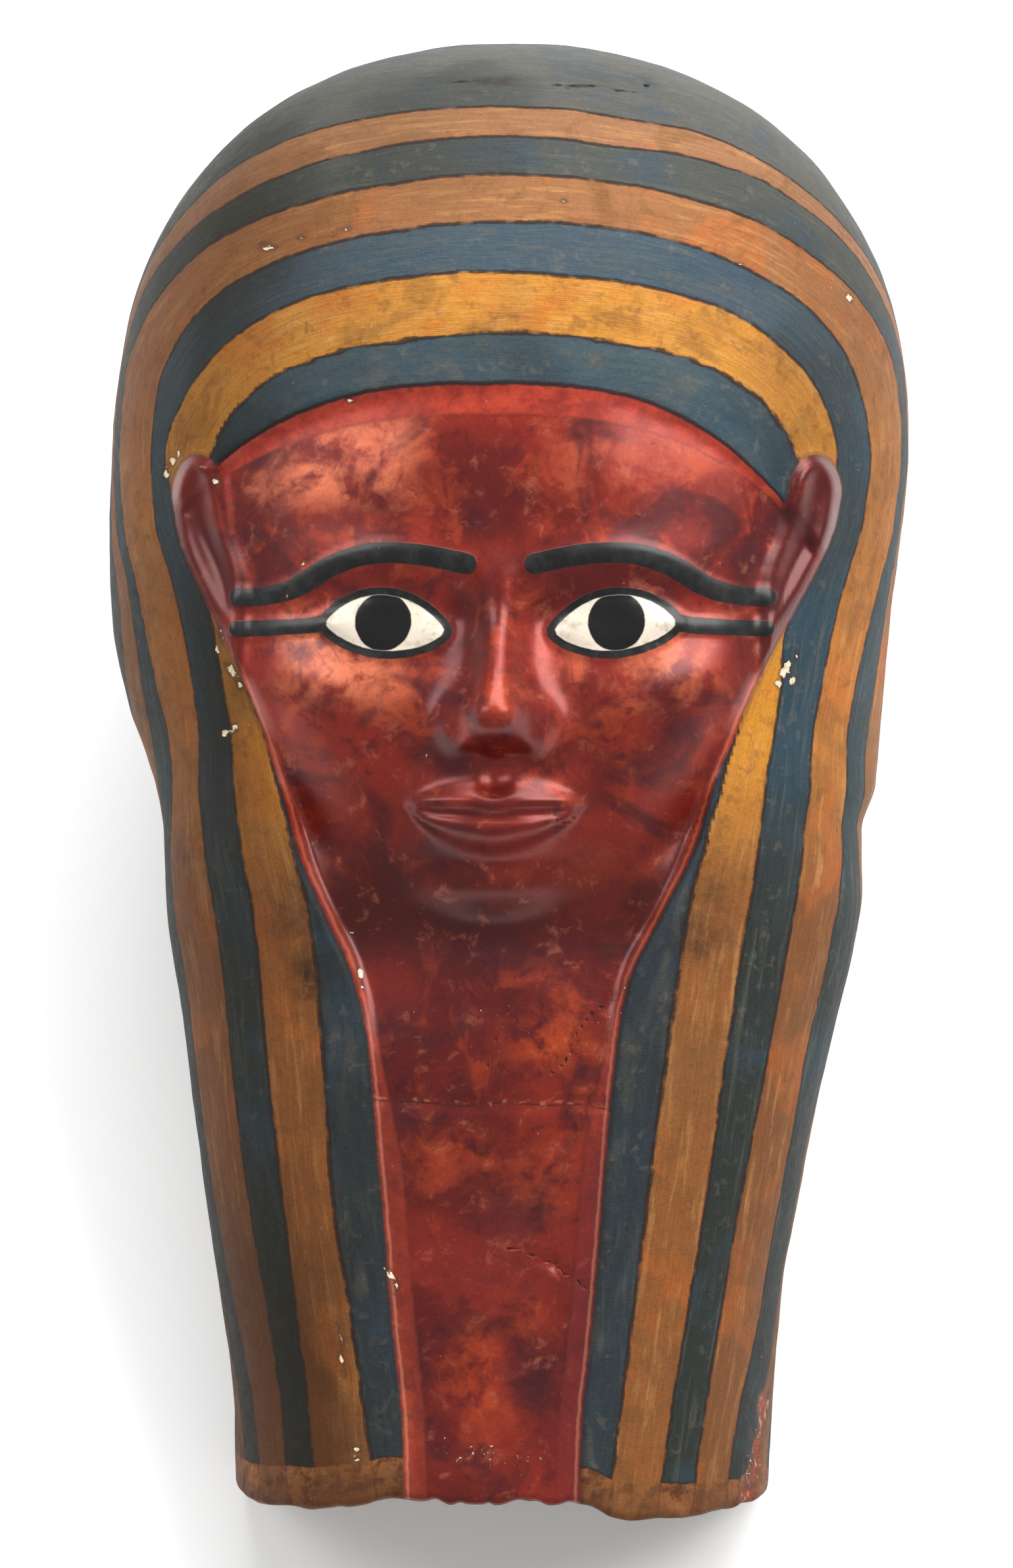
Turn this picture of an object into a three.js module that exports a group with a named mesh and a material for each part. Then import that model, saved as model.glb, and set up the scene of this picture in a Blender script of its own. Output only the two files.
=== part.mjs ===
// Egyptian mummy mask: one moulded cartonnage shell with a striped headdress, lying on its back.
// Millimetres. The shell is described upright first: x to the right, d towards the front, z from the hem up to the
// crown. It is then laid down: head towards +Y, face up (+Z), resting on the back of the head and the hem's rear corners.
import * as THREE from "three";

// ---------------------------------------------------------------- driving dimensions
const HEIGHT = 450; // hem to crown
const WALL = 5; // thickness of the cartonnage
const DOME_Z = 320; // height where the dome of the crown starts
const DOME_N = 2.28; // roundness of the dome, 2 is an ellipse
const NAPE_Z = 218; // lower edge of the helmet's back
const NAPE_DIP = 7; // how much lower that edge is at the middle of the back
const BACK_DEPTH = 118; // widest part of the head to the back of the head
const BACK_CURL = 0.0045; // how quickly the back of the head turns in towards the nape
const BACK_CURL_Z = 300;
const LAPPET_BACK = 90; // roundness of the lappets' rear part

const FACE_TOP = 335; // middle of the hairline
const FACE_THIRD = 54; // hairline to brow, brow to nose base, nose base to chin
const FACE_FIFTH = 34; // one eye's width, a fifth of the face
const BROW_Z = FACE_TOP - FACE_THIRD;
const EYE_Z = BROW_Z - 17;
const NOSE_Z = FACE_TOP - 2 * FACE_THIRD;
const MOUTH_Z = NOSE_Z - FACE_THIRD / 3;
const CHIN_Z = FACE_TOP - 3 * FACE_THIRD;
const EAR_FOOT = 250; // ears: pointed foot, widest up to the shoulder, rounded top
const EAR_SHOULDER = 305;
const EAR_TOP = 316.5;
const EAR_WIDE = 16.5;

const LIE_TILT = 24.15; // degrees the upright axis leans when the mask lies down
const REST_LEVEL = 6.4; // height of the resting plane above the leaning axis; what would dip under it is worn flat

// ---------------------------------------------------------------- profiles up the height, [z, value]
const HALF_LEFT = [[0, 83.8], [30, 84.4], [60, 88.4], [120, 96.3], [155, 100.4], [180, 104.6], [203, 106], [218, 110], [229, 114.3], [241, 118.8], [266, 123.6], [300, 124.2], [320, 124]];
const HALF_RIGHT = [[0, 82], [30, 83.6], [60, 86.2], [92, 92.3], [142, 102.6], [167, 108.5], [185, 111.3], [203, 111.3], [218, 116], [254, 119.8], [276, 122.4], [300, 125.6], [320, 127.2]];
const FRONT = [[0, 100], [40, 97], [100, 95], [150, 96], [200, 100], [230, 104], [260, 108], [300, 110], [320, 110]];
const WIDEST = [[0, 20], [195, 18], [240, 0], [320, 0]];
const REAR_EDGE = [[0, 6], [100, 2], [218, -12], [320, -22]];
const SKIN_HALF = [[0, 26], [23, 26.5], [60, 30], [120, 35], [140, 37], [158, 40.5], [178, 49.5], [197, 58.4], [216, 64.3], [236, 71.5], [256, 80], [276, 90.5], [296, 99], [322, 102]];

const clamp = (v, a, b) => Math.min(b, Math.max(a, v));
const step = (a, b, v) => {
  const t = clamp((v - a) / (b - a), 0, 1);
  return t * t * (3 - 2 * t);
};
const mix = (a, b, t) => a + (b - a) * t;
const bump = (u, v) => Math.exp(-u * u - v * v);
const smax = (a, b, k) => {
  const h = clamp(0.5 + (0.5 * (a - b)) / k, 0, 1);
  return mix(b, a, h) + k * h * (1 - h);
};

// A smooth curve through a profile, flat beyond its ends, with no overshoot between its stations.
function curve(stations) {
  const n = stations.length;
  const slope = [];
  for (let i = 0; i < n - 1; i++) slope.push((stations[i + 1][1] - stations[i][1]) / (stations[i + 1][0] - stations[i][0]));
  const tan = stations.map((_, i) => {
    if (i === 0 || i === n - 1) return 0;
    const a = slope[i - 1], b = slope[i];
    return a * b <= 0 ? 0 : (2 * a * b) / (a + b);
  });
  tan[0] = slope[0];
  return (z) => {
    if (z <= stations[0][0]) return stations[0][1];
    if (z >= stations[n - 1][0]) return stations[n - 1][1];
    let i = 0;
    while (z > stations[i + 1][0]) i++;
    const h = stations[i + 1][0] - stations[i][0];
    const t = (z - stations[i][0]) / h;
    const t2 = t * t, t3 = t2 * t;
    return (
      (2 * t3 - 3 * t2 + 1) * stations[i][1] + (t3 - 2 * t2 + t) * h * tan[i] +
      (3 * t2 - 2 * t3) * stations[i + 1][1] + (t3 - t2) * h * tan[i + 1]
    );
  };
}
const halfLeft = curve(HALF_LEFT), halfRight = curve(HALF_RIGHT), front = curve(FRONT);
const widest = curve(WIDEST), rearEdge = curve(REAR_EDGE), skinHalf = curve(SKIN_HALF);

const dome = (z) =>
  z <= DOME_Z ? 1 : Math.pow(Math.max(0, 1 - Math.pow((z - DOME_Z) / (HEIGHT - DOME_Z), DOME_N)), 1 / DOME_N);
const signedPow = (v, p) => Math.sign(v) * Math.pow(Math.abs(v), p);

// ---------------------------------------------------------------- the headdress' own surface
function section(z) {
  const k = dome(z);
  const lappet = 1 - step(190, 240, z);
  const curl = Math.max(0, BACK_CURL_Z - z);
  const mid = widest(z);
  return {
    k, mid,
    left: halfLeft(z) * k,
    right: halfRight(z) * k,
    front: (front(z) - mid) * k,
    back: mix(BACK_DEPTH - BACK_CURL * Math.min(curl, BACK_CURL_Z - NAPE_Z + NAPE_DIP) ** 2 + mid, LAPPET_BACK, lappet) * k,
    n: mix(DOME_N, 2.7, lappet),
  };
}
function rearAngle(z) {
  const s = section(Math.min(z, DOME_Z));
  const c = Math.pow((s.mid - rearEdge(Math.min(z, DOME_Z))) / s.back, s.n / 2);
  return Math.PI / 2 + Math.asin(clamp(c, 0, 0.6));
}
function headdress(theta, z) {
  const s = section(z);
  const p = 2 / s.n;
  const sx = signedPow(Math.sin(theta), p), cx = signedPow(Math.cos(theta), p);
  return [sx * (sx < 0 ? s.left : s.right), s.mid * s.k + cx * (cx < 0 ? s.back : s.front)];
}

// ---------------------------------------------------------------- face, neck and bib
const hairline = (x) => FACE_TOP - (x < 0 ? 15 : 21) * Math.pow(Math.abs(x) / 73, 2.9);
// x of the middle of the face and bib: the head leans a little to one side
const midX = (z) => mix(-1, 3, clamp((z - 165) / 150, 0, 1));
// distance outside the skin's border, negative on the skin
const outside = (x, z) => Math.max((z - hairline(x)) * 0.9, (Math.abs(x - midX(z)) - skinHalf(z)) * 0.85);

function faceForm(x, z) {
  const w = mix(101, 62, step(255, 175, z));
  const q = Math.pow(Math.abs(x) / w, 2.2) + Math.pow(Math.max(0, 255 - z) / 88, 4.4);
  const mid = 108 - 0.0006 * (z - 285) ** 2;
  return 40 + (mid - 40) * Math.sqrt(Math.max(0, 1 - q));
}
// a straight nose, one eye wide at its wings: height and half width of its ridge up the face
const noseTall = curve([[NOSE_Z - 7, 0], [NOSE_Z - 3, 1.2], [NOSE_Z + 0.5, 7], [NOSE_Z + 4, 15.5], [NOSE_Z + 8, 20.2], [NOSE_Z + 12, 21], [NOSE_Z + 18, 17.4], [NOSE_Z + 26, 12.6], [NOSE_Z + 36, 8], [NOSE_Z + 43, 5.6], [NOSE_Z + 52, 3.6], [NOSE_Z + 62, 0]]);
const noseWide = curve([[NOSE_Z - 4, 8.6], [NOSE_Z + 4, 10.4], [NOSE_Z + 11, 11.2], [NOSE_Z + 18, 10], [NOSE_Z + 28, 8], [NOSE_Z + 40, 7], [NOSE_Z + 54, 9]]);
function nose(x, z) {
  const ax = Math.abs(x);
  const full = 2.1 + 0.7 * step(NOSE_Z + 22, NOSE_Z + 10, z);
  const ridge = noseTall(z) * Math.exp(-Math.pow(ax / noseWide(z), full));
  const q = ((ax - 12.4) / 6.4) ** 2 + ((z - NOSE_Z - 7.2) / 8) ** 2;
  const wing = 11.5 * Math.pow(Math.max(0, 1 - q), 0.62);
  return smax(ridge, wing, 3.6) - 0.9;
}
// full, level lips, closed
function lips(x, z) {
  const line = MOUTH_Z + 1.5 * (x / 25) ** 2 - 0.7 * bump(x / 6, 0);
  const round = Math.max(0, 1 - (x / 27.5) ** 2);
  const top = 9.2 * Math.pow(round, 0.75) * (1 - 0.13 * bump(x / 3.4, 0)) + 0.6;
  const low = 10.6 * Math.pow(Math.max(0, 1 - (x / 25) ** 2), 0.8) + 0.6;
  const up = (z - line) / top, down = (line - z) / low;
  const fade = Math.pow(round, 0.35);
  let r = 0;
  if (up > -0.6) r += 4.6 * fade * Math.exp(-(((up - 0.42) / 0.4) ** 2));
  if (down > -0.6) r += 5.2 * fade * Math.exp(-(((down - 0.46) / 0.42) ** 2));
  r -= 1.9 * Math.sqrt(Math.max(0, 1 - (x / 29) ** 2)) * bump((z - line) / 1.5, 0);
  return r;
}
function faceRelief(x, z) {
  const ax = Math.abs(x);
  let r = 2 * bump((ax - 30) / 25, (z - BROW_Z - 2) / 9); // brow
  r += 1.3 * bump((ax - 27) / 20, (z - BROW_Z - 27) / 17); // forehead
  r -= 1.8 * bump((ax - 82) / 11, (z - BROW_Z + 2) / 20); // temple
  r -= 5.4 * bump((ax - 28) / 20, (z - EYE_Z - 1) / 14); // eye socket
  r -= 2.6 * bump((ax - 13) / 7, (z - EYE_Z - 4) / 10);
  const eu = (ax - FACE_FIFTH) / (FACE_FIFTH / 2), ev = (z - EYE_Z - 1.5) / 8.4;
  r += 3.6 * Math.sqrt(Math.max(0, 1 - eu * eu - ev * ev));
  r += nose(x, z);
  r += 5.2 * bump(x / 30, (z - MOUTH_Z) / 19);
  r += lips(x, z);
  r -= 1.2 * bump(x / 2.7, (z - NOSE_Z + 7) / 6);
  r -= 3.2 * bump(x / 18, (z - MOUTH_Z + 15) / 5);
  r += 6.8 * bump(x / 19, (z - CHIN_Z - 15) / 10.5); // chin
  r += 4.4 * bump((ax - 45) / 21, (z - NOSE_Z - 11) / 20); // cheeks
  r += 2.4 * bump((ax - 63) / 17, (z - EYE_Z + 17) / 12);
  r -= 1.8 * bump((ax - 56) / 14, (z - MOUTH_Z) / 17);
  r -= 1.5 * bump((ax - 27 - 0.25 * (NOSE_Z - z)) / 5, (z - MOUTH_Z - 13) / 11);
  r += 2.2 * bump((ax - 47) / 13, (z - CHIN_Z - 16) / 13);
  return r;
}
// leaf-shaped ears against the edge of the headdress
const earWidth = (z) => EAR_WIDE * step(EAR_FOOT - 6, EAR_FOOT + 36, z);
const earMiddle = (z) => skinHalf(Math.min(z, EAR_SHOULDER)) + 0.4 - earWidth(z) / 2;
function earRelief(x, z) {
  if (z < EAR_FOOT - 6 || z > EAR_TOP + 6) return 0;
  const u = Math.abs(x) - earMiddle(z);
  const half = Math.max(1, earWidth(z) / 2);
  const r = z > EAR_SHOULDER ? Math.hypot(u / half, (z - EAR_SHOULDER) / (EAR_TOP - EAR_SHOULDER)) : Math.abs(u) / half;
  const foot = step(EAR_FOOT - 2, EAR_FOOT + 10, z);
  return foot * (4.3 * (1 - step(0.72, 1.12, r)) - 3 * bump((u - 0.3) / 3.4, (z - 289) / 14));
}
function frontDepth(x, wig, z) {
  const sd = outside(x, z);
  const fx = x - midX(z);
  const recess = 3 + 6 * step(130, 180, z) * (1 - step(215, 260, z));
  let skin = smax(wig - recess, faceForm(fx, z), 5);
  skin += faceRelief(fx, z) * step(166, 180, z);
  skin -= 0.5 * bump((z - 122.6) / 2.5, 0);
  return mix(skin, wig, step(-5, 3.5, sd)) + earRelief(fx, z);
}
// The inside follows the large forms only: hollows in full, the nose and chin by part, nothing of eyes, lips or ears.
function insideDepth(x, wig, z) {
  const fx = x - midX(z);
  const ax = Math.abs(fx);
  const recess = 3 + 6 * step(130, 180, z) * (1 - step(215, 260, z));
  const u = ax / Math.max(26, skinHalf(z));
  let form = smax(wig - recess, faceForm(fx, z), 16) - 3;
  form -= 5.5 * bump((ax - 27) / 20, (z - EYE_Z - 3) / 14) + 2.5 * bump((ax - 14) / 8, (z - EYE_Z - 5) / 10);
  form += 11 * bump(fx / 13, (z - NOSE_Z - 15) / 19) + 4 * bump(fx / 22, (z - CHIN_Z - 14) / 12);
  return mix(form, wig, Math.max(step(1.0, 1.35, u), step(FACE_TOP - 4, FACE_TOP + 22, z)));
}
function surfacePoint(theta, z, depth, top) {
  const [x, wig] = headdress(theta, z);
  if (Math.cos(theta) <= 0 || z > top) return [x, wig, z];
  const fade = 1 - step(1.25, 1.5, Math.abs(theta));
  return [x, mix(wig, depth(x, wig, z), fade), z];
}
const outerPoint = (theta, z) => surfacePoint(theta, z, frontDepth, FACE_TOP + 8);
const smoothPoint = (theta, z) => surfacePoint(theta, z, insideDepth, FACE_TOP + 22);

// The inner face of the wall: the outer one moved in by the wall's thickness. Level with the outer one on every edge.
function innerPoint(theta, z) {
  const e = 0.02, ez = 3;
  const zc = clamp(z, 0, HEIGHT - 14);
  const a = smoothPoint(theta - e, zc), b = smoothPoint(theta + e, zc);
  const c = smoothPoint(theta, Math.max(0, zc - ez)), d = smoothPoint(theta, Math.min(HEIGHT - 12, zc + ez));
  const u = new THREE.Vector3(b[0] - a[0], b[1] - a[1], b[2] - a[2]);
  const v = new THREE.Vector3(d[0] - c[0], d[1] - c[1], d[2] - c[2]);
  const n = u.cross(v).normalize();
  const p = smoothPoint(theta, z);
  const outwards = n.x * p[0] + n.y * p[1] > 0 ? 1 : -1;
  n.multiplyScalar(outwards);
  const level = step(300, 345, z);
  const flat = Math.max(0.72, Math.hypot(n.x, n.y));
  const k = mix(WALL / flat, WALL, level);
  return [p[0] - n.x * k, p[1] - n.y * k, p[2] - n.z * k * level];
}

// ---------------------------------------------------------------- grid of columns and rows
// Columns of the front half run from one rear edge to the other; columns of the back close the helmet behind them.
function frontColumns(count) {
  const ref = 260, end = rearAngle(ref), fine = 400;
  const length = [0];
  let last = headdress(0, ref);
  for (let i = 1; i <= fine; i++) {
    const p = headdress((end * i) / fine, ref);
    const weight = Math.abs(p[0]) < 92 ? 1 : 0.55;
    length.push(length[i - 1] + weight * Math.hypot(p[0] - last[0], p[1] - last[1]));
    last = p;
  }
  const half = [];
  for (let c = 0; c <= count; c++) {
    const want = (length[fine] * c) / count;
    let i = 1;
    while (i < fine && length[i] < want) i++;
    half.push((i - 1 + (want - length[i - 1]) / (length[i] - length[i - 1])) / fine);
  }
  return [...half.slice(1).reverse().map((v) => -v), ...half];
}
const BACK_SPREAD = [5, 10, 17, 26, 37, 50, 64]; // degrees either side of the middle of the back
const FRONT_HALF_COLUMNS = 26;

const lowest = (theta, z, nape) => (nape ? NAPE_DIP * step(NAPE_Z + 70, NAPE_Z, z) * Math.sin(Math.min(Math.PI / 2, Math.max(0, Math.abs(theta) - 1.8))) : 0);

function rows() {
  const upper = [];
  for (let f = 9; f < 84; f += 8.2) {
    const a = (f * Math.PI) / 180;
    upper.push(DOME_Z + (HEIGHT - DOME_Z) * Math.pow(Math.cos(a), 2 / DOME_N));
  }
  const faceRows = Math.round((upper[upper.length - 1] - NAPE_Z) / 5.4);
  const top = upper[upper.length - 1];
  for (let i = 1; i <= faceRows; i++) upper.push(top + ((NAPE_Z - top) * i) / faceRows);
  const lower = [];
  for (let i = 1; i <= 9; i++) lower.push(NAPE_Z - 5.2 * i);
  const from = lower[lower.length - 1];
  for (let i = 1; i <= 15; i++) lower.push(from - (from * i) / 15);
  return { upper, lower };
}

// Lays an upright point down.
const tilt = (LIE_TILT * Math.PI) / 180;
const lay = ([x, d, z]) => [x, z * Math.cos(tilt) - d * Math.sin(tilt), d * Math.cos(tilt) + z * Math.sin(tilt)];

function wallGrid(point, columnStep, rowStep) {
  const pick = (list, s) => list.filter((_, i) => i % s === s - 1 || i === list.length - 1);
  const r = rows();
  const upper = columnStep === 1 ? r.upper : pick(r.upper, rowStep);
  const lower = columnStep === 1 ? r.lower : pick(r.lower, rowStep);
  const all = frontColumns(FRONT_HALF_COLUMNS);
  const cols = all.filter((_, i) => i % columnStep === 0);
  const back = [...BACK_SPREAD.map((v) => v), 0].sort((a, b) => b - a);
  const backAngles = [...back.map((v) => Math.PI - (v * Math.PI) / 180), ...back.slice(0, -1).reverse().map((v) => Math.PI + (v * Math.PI) / 180)];
  const ref = rearAngle(260);
  const nf = cols.length;
  const verts = [];
  const add = (p) => verts.push(lay(p)) - 1;
  const pole = add([0, 0, point === innerPoint ? HEIGHT - WALL : HEIGHT]);
  const grid = [];
  [...upper, ...lower].forEach((z, j) => {
    const end = rearAngle(z);
    const line = cols.map((c) => add(point(c * end, z)));
    if (j < upper.length)
      backAngles.forEach((a) => {
        const theta = a > Math.PI ? a - 2 * Math.PI : a;
        const dip = lowest(theta, z, true);
        const p = point(theta, z - dip);
        line.push(add(p));
      });
    grid.push(line);
  });
  return { verts, grid, pole, nf, nu: upper.length, upperWidth: nf + backAngles.length };
}

function triangles(g, flip) {
  const tris = [];
  const put = (a, b, c) => tris.push(flip ? [a, c, b] : [a, b, c]);
  const apart = (i, j) => Math.hypot(...g.verts[i].map((v, k) => v - g.verts[j][k]));
  // a quad is split along its shorter diagonal, so that slanting edges such as the jaw stay clean on both sides
  const quad = (a, b, c, d) => {
    if (apart(a, c) <= apart(b, d)) {
      put(a, d, c);
      put(a, c, b);
    } else {
      put(a, d, b);
      put(b, d, c);
    }
  };
  const w = g.upperWidth;
  for (let i = 0; i < w; i++) put(g.pole, g.grid[0][i], g.grid[0][(i + 1) % w]);
  for (let j = 0; j + 1 < g.nu; j++)
    for (let i = 0; i < w; i++) {
      quad(g.grid[j][i], g.grid[j][(i + 1) % w], g.grid[j + 1][(i + 1) % w], g.grid[j + 1][i]);
    }
  for (let j = g.nu - 1; j + 1 < g.grid.length; j++)
    for (let i = 0; i + 1 < g.nf; i++) {
      quad(g.grid[j][i], g.grid[j][i + 1], g.grid[j + 1][i + 1], g.grid[j + 1][i]);
    }
  return tris;
}

// The edge of the wall in four runs: along the hem, up one lappet, round the nape and down the other lappet.
function edges(g) {
  const last = g.grid.length - 1;
  const hem = g.grid[last].slice(0, g.nf);
  const right = [];
  for (let j = last; j >= g.nu - 1; j--) right.push(g.grid[j][g.nf - 1]);
  const nape = [g.grid[g.nu - 1][g.nf - 1], ...g.grid[g.nu - 1].slice(g.nf), g.grid[g.nu - 1][0]];
  const left = [];
  for (let j = g.nu - 1; j <= last; j++) left.push(g.grid[j][0]);
  return [hem, right, nape, left];
}
// Joins two runs of different counts with a strip of triangles.
function zip(outer, inner, verts, tris) {
  const length = (run) => {
    const out = [0];
    for (let i = 1; i < run.length; i++) {
      const p = verts[run[i - 1]], q = verts[run[i]];
      out.push(out[i - 1] + Math.hypot(q[0] - p[0], q[1] - p[1], q[2] - p[2]));
    }
    return out.map((v) => v / out[out.length - 1]);
  };
  const lo = length(outer), li = length(inner);
  let i = 0, j = 0;
  while (i < outer.length - 1 || j < inner.length - 1) {
    const nextOuter = i < outer.length - 1 ? lo[i + 1] : 9, nextInner = j < inner.length - 1 ? li[j + 1] : 9;
    if (nextOuter <= nextInner) {
      tris.push([outer[i], inner[j], outer[i + 1]]);
      i++;
    } else {
      tris.push([outer[i], inner[j], inner[j + 1]]);
      j++;
    }
  }
}

function shell() {
  const outer = wallGrid(outerPoint, 1, 1);
  const inner = wallGrid(innerPoint, 2, 2);
  [outer, inner].forEach((g) => g.verts.forEach((v) => (v[2] = Math.max(0, v[2] - REST_LEVEL))));
  const n = outer.verts.length;
  const verts = [...outer.verts, ...inner.verts];
  const tris = triangles(outer, false);
  triangles(inner, true).forEach((t) => tris.push(t.map((i) => i + n)));
  const eo = edges(outer), ei = edges(inner).map((run) => run.map((i) => i + n));
  eo.forEach((run, i) => zip(run, ei[i], verts, tris));
  // the origin is under the middle of the laid mask
  const min = [0, 1].map((k) => Math.min(...verts.map((v) => v[k]))), max = [0, 1].map((k) => Math.max(...verts.map((v) => v[k])));
  verts.forEach((v) => {
    v[0] -= (min[0] + max[0]) / 2;
    v[1] -= (min[1] + max[1]) / 2;
  });
  const geometry = new THREE.BufferGeometry();
  geometry.setAttribute("position", new THREE.BufferAttribute(new Float32Array(verts.flat()), 3));
  geometry.setIndex(tris.flat());
  geometry.computeVertexNormals();
  return geometry;
}

const mask = new THREE.Mesh(
  shell(),
  new THREE.MeshStandardMaterial({ color: 0x8f3a2c, roughness: 0.45, metalness: 0.0 }),
);
mask.name = "mask_shell";

const part = new THREE.Group();
part.name = "mummy_mask";
part.add(mask);

export default part;
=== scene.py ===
# Egyptian mummy mask of painted cartonnage, lying face up on a pale floor.
# The mask is described upright in millimetres: x to the right, d towards the front, z from the hem up to the crown.
# lay() then puts each point where the frame has it: head towards +Y, face up, in metres.
import math

import bpy
import numpy as np
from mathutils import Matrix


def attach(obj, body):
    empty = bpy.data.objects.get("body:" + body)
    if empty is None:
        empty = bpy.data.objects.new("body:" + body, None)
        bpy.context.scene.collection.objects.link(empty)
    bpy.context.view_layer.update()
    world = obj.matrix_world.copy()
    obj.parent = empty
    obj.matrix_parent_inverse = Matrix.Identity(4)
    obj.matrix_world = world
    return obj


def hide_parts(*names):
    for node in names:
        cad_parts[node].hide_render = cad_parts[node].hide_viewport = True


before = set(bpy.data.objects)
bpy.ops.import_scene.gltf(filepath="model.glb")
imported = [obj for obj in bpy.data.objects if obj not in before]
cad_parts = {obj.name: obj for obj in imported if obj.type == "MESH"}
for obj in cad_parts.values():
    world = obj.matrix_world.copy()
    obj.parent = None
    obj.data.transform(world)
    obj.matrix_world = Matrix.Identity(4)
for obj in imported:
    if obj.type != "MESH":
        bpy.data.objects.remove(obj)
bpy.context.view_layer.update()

# ---------------------------------------------------------------- driving dimensions, as in the solid
HEIGHT, WALL = 450.0, 5.0
DOME_Z, DOME_N = 320.0, 2.28
NAPE_Z, NAPE_DIP = 218.0, 7.0
BACK_DEPTH, BACK_CURL, BACK_CURL_Z, LAPPET_BACK = 118.0, 0.0045, 300.0, 90.0
FACE_TOP, FACE_THIRD, FACE_FIFTH = 335.0, 54.0, 34.0
BROW_Z = FACE_TOP - FACE_THIRD
EYE_Z = BROW_Z - 17.0
NOSE_Z = FACE_TOP - 2 * FACE_THIRD
MOUTH_Z = NOSE_Z - FACE_THIRD / 3
CHIN_Z = FACE_TOP - 3 * FACE_THIRD
EAR_FOOT, EAR_SHOULDER, EAR_TOP, EAR_WIDE = 250.0, 305.0, 316.5, 16.5
LIE_TILT, REST_LEVEL = math.radians(24.15), 6.4

HALF_LEFT = [[0, 83.8], [30, 84.4], [60, 88.4], [120, 96.3], [155, 100.4], [180, 104.6], [203, 106], [218, 110], [229, 114.3], [241, 118.8], [266, 123.6], [300, 124.2], [320, 124]]
HALF_RIGHT = [[0, 82], [30, 83.6], [60, 86.2], [92, 92.3], [142, 102.6], [167, 108.5], [185, 111.3], [203, 111.3], [218, 116], [254, 119.8], [276, 122.4], [300, 125.6], [320, 127.2]]
FRONT = [[0, 100], [40, 97], [100, 95], [150, 96], [200, 100], [230, 104], [260, 108], [300, 110], [320, 110]]
WIDEST = [[0, 20], [195, 18], [240, 0], [320, 0]]
REAR_EDGE = [[0, 6], [100, 2], [218, -12], [320, -22]]
SKIN_HALF = [[0, 26], [23, 26.5], [60, 30], [120, 35], [140, 37], [158, 40.5], [178, 49.5], [197, 58.4], [216, 64.3], [236, 71.5], [256, 80], [276, 90.5], [296, 99], [322, 102]]


def curve(stations):
    """A smooth curve through a profile, flat beyond its ends, with no overshoot between its stations."""
    z, v = (np.array(k, float) for k in zip(*stations))
    slope = np.diff(v) / np.diff(z)
    tan = np.zeros(len(z))
    tan[0] = slope[0]
    for i in range(1, len(z) - 1):
        a, b = slope[i - 1], slope[i]
        tan[i] = 0 if a * b <= 0 else 2 * a * b / (a + b)

    def f(q):
        q = np.clip(q, z[0], z[-1])
        i = np.clip(np.searchsorted(z, q, side="left") - 1, 0, len(z) - 2)
        h = z[i + 1] - z[i]
        t = (q - z[i]) / h
        t2, t3 = t * t, t * t * t
        return (2 * t3 - 3 * t2 + 1) * v[i] + (t3 - 2 * t2 + t) * h * tan[i] + (3 * t2 - 2 * t3) * v[i + 1] + (t3 - t2) * h * tan[i + 1]

    return f


half_left, half_right, front_of = curve(HALF_LEFT), curve(HALF_RIGHT), curve(FRONT)
widest, rear_edge, skin_half = curve(WIDEST), curve(REAR_EDGE), curve(SKIN_HALF)


def step(a, b, v):
    t = np.clip((v - a) / (b - a), 0, 1)
    return t * t * (3 - 2 * t)


def mix(a, b, t):
    return a + (b - a) * t


def bump(u, v=0.0):
    return np.exp(-u * u - v * v)


def smax(a, b, k):
    h = np.clip(0.5 + 0.5 * (a - b) / k, 0, 1)
    return mix(b, a, h) + k * h * (1 - h)


# ---------------------------------------------------------------- seeded lattice noise for the hand-made surface
def noise(points, size, seed, n=32):
    """Smooth noise, -1 to 1, with bumps about size millimetres apart."""
    table = np.random.default_rng(seed).uniform(-1, 1, (n, n, n))
    q = points / size + 97.3
    i = np.floor(q).astype(int)
    f = q - i
    f = f * f * (3 - 2 * f)
    out = 0
    for a in (0, 1):
        for b in (0, 1):
            for c in (0, 1):
                w = (f[:, 0] if a else 1 - f[:, 0]) * (f[:, 1] if b else 1 - f[:, 1]) * (f[:, 2] if c else 1 - f[:, 2])
                out = out + w * table[(i[:, 0] + a) % n, (i[:, 1] + b) % n, (i[:, 2] + c) % n]
    return out


# ---------------------------------------------------------------- the headdress' own surface
def dome(z):
    t = np.clip((z - DOME_Z) / (HEIGHT - DOME_Z), 0, 1)
    return np.where(z <= DOME_Z, 1.0, np.power(np.maximum(0, 1 - np.power(t, DOME_N)), 1 / DOME_N))


def section(z):
    k = dome(z)
    lappet = 1 - step(190, 240, z)
    curl = np.maximum(0, BACK_CURL_Z - z)
    mid = widest(z)
    back = mix(BACK_DEPTH - BACK_CURL * np.minimum(curl, BACK_CURL_Z - NAPE_Z + NAPE_DIP) ** 2 + mid, LAPPET_BACK, lappet) * k
    return k, mid, half_left(z) * k, half_right(z) * k, (front_of(z) - mid) * k, back, mix(DOME_N, 2.7, lappet)


def rear_angle(z):
    z = np.minimum(z, DOME_Z)
    _, mid, _, _, _, back, n = section(z)
    c = np.power((mid - rear_edge(z)) / back, n / 2)
    return math.pi / 2 + np.arcsin(np.clip(c, 0, 0.6))


def headdress(theta, z):
    k, mid, left, right, front, back, n = section(z)
    p = 2 / n
    s, c = np.sin(theta), np.cos(theta)
    sx, cx = np.sign(s) * np.abs(s) ** p, np.sign(c) * np.abs(c) ** p
    return sx * np.where(sx < 0, left, right), mid * k + cx * np.where(cx < 0, back, front)


# ---------------------------------------------------------------- borders of the paint, as distances in millimetres
def hairline(x):
    return FACE_TOP - np.where(x < 0, 15, 21) * (np.abs(x) / 73) ** 2.9


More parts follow.
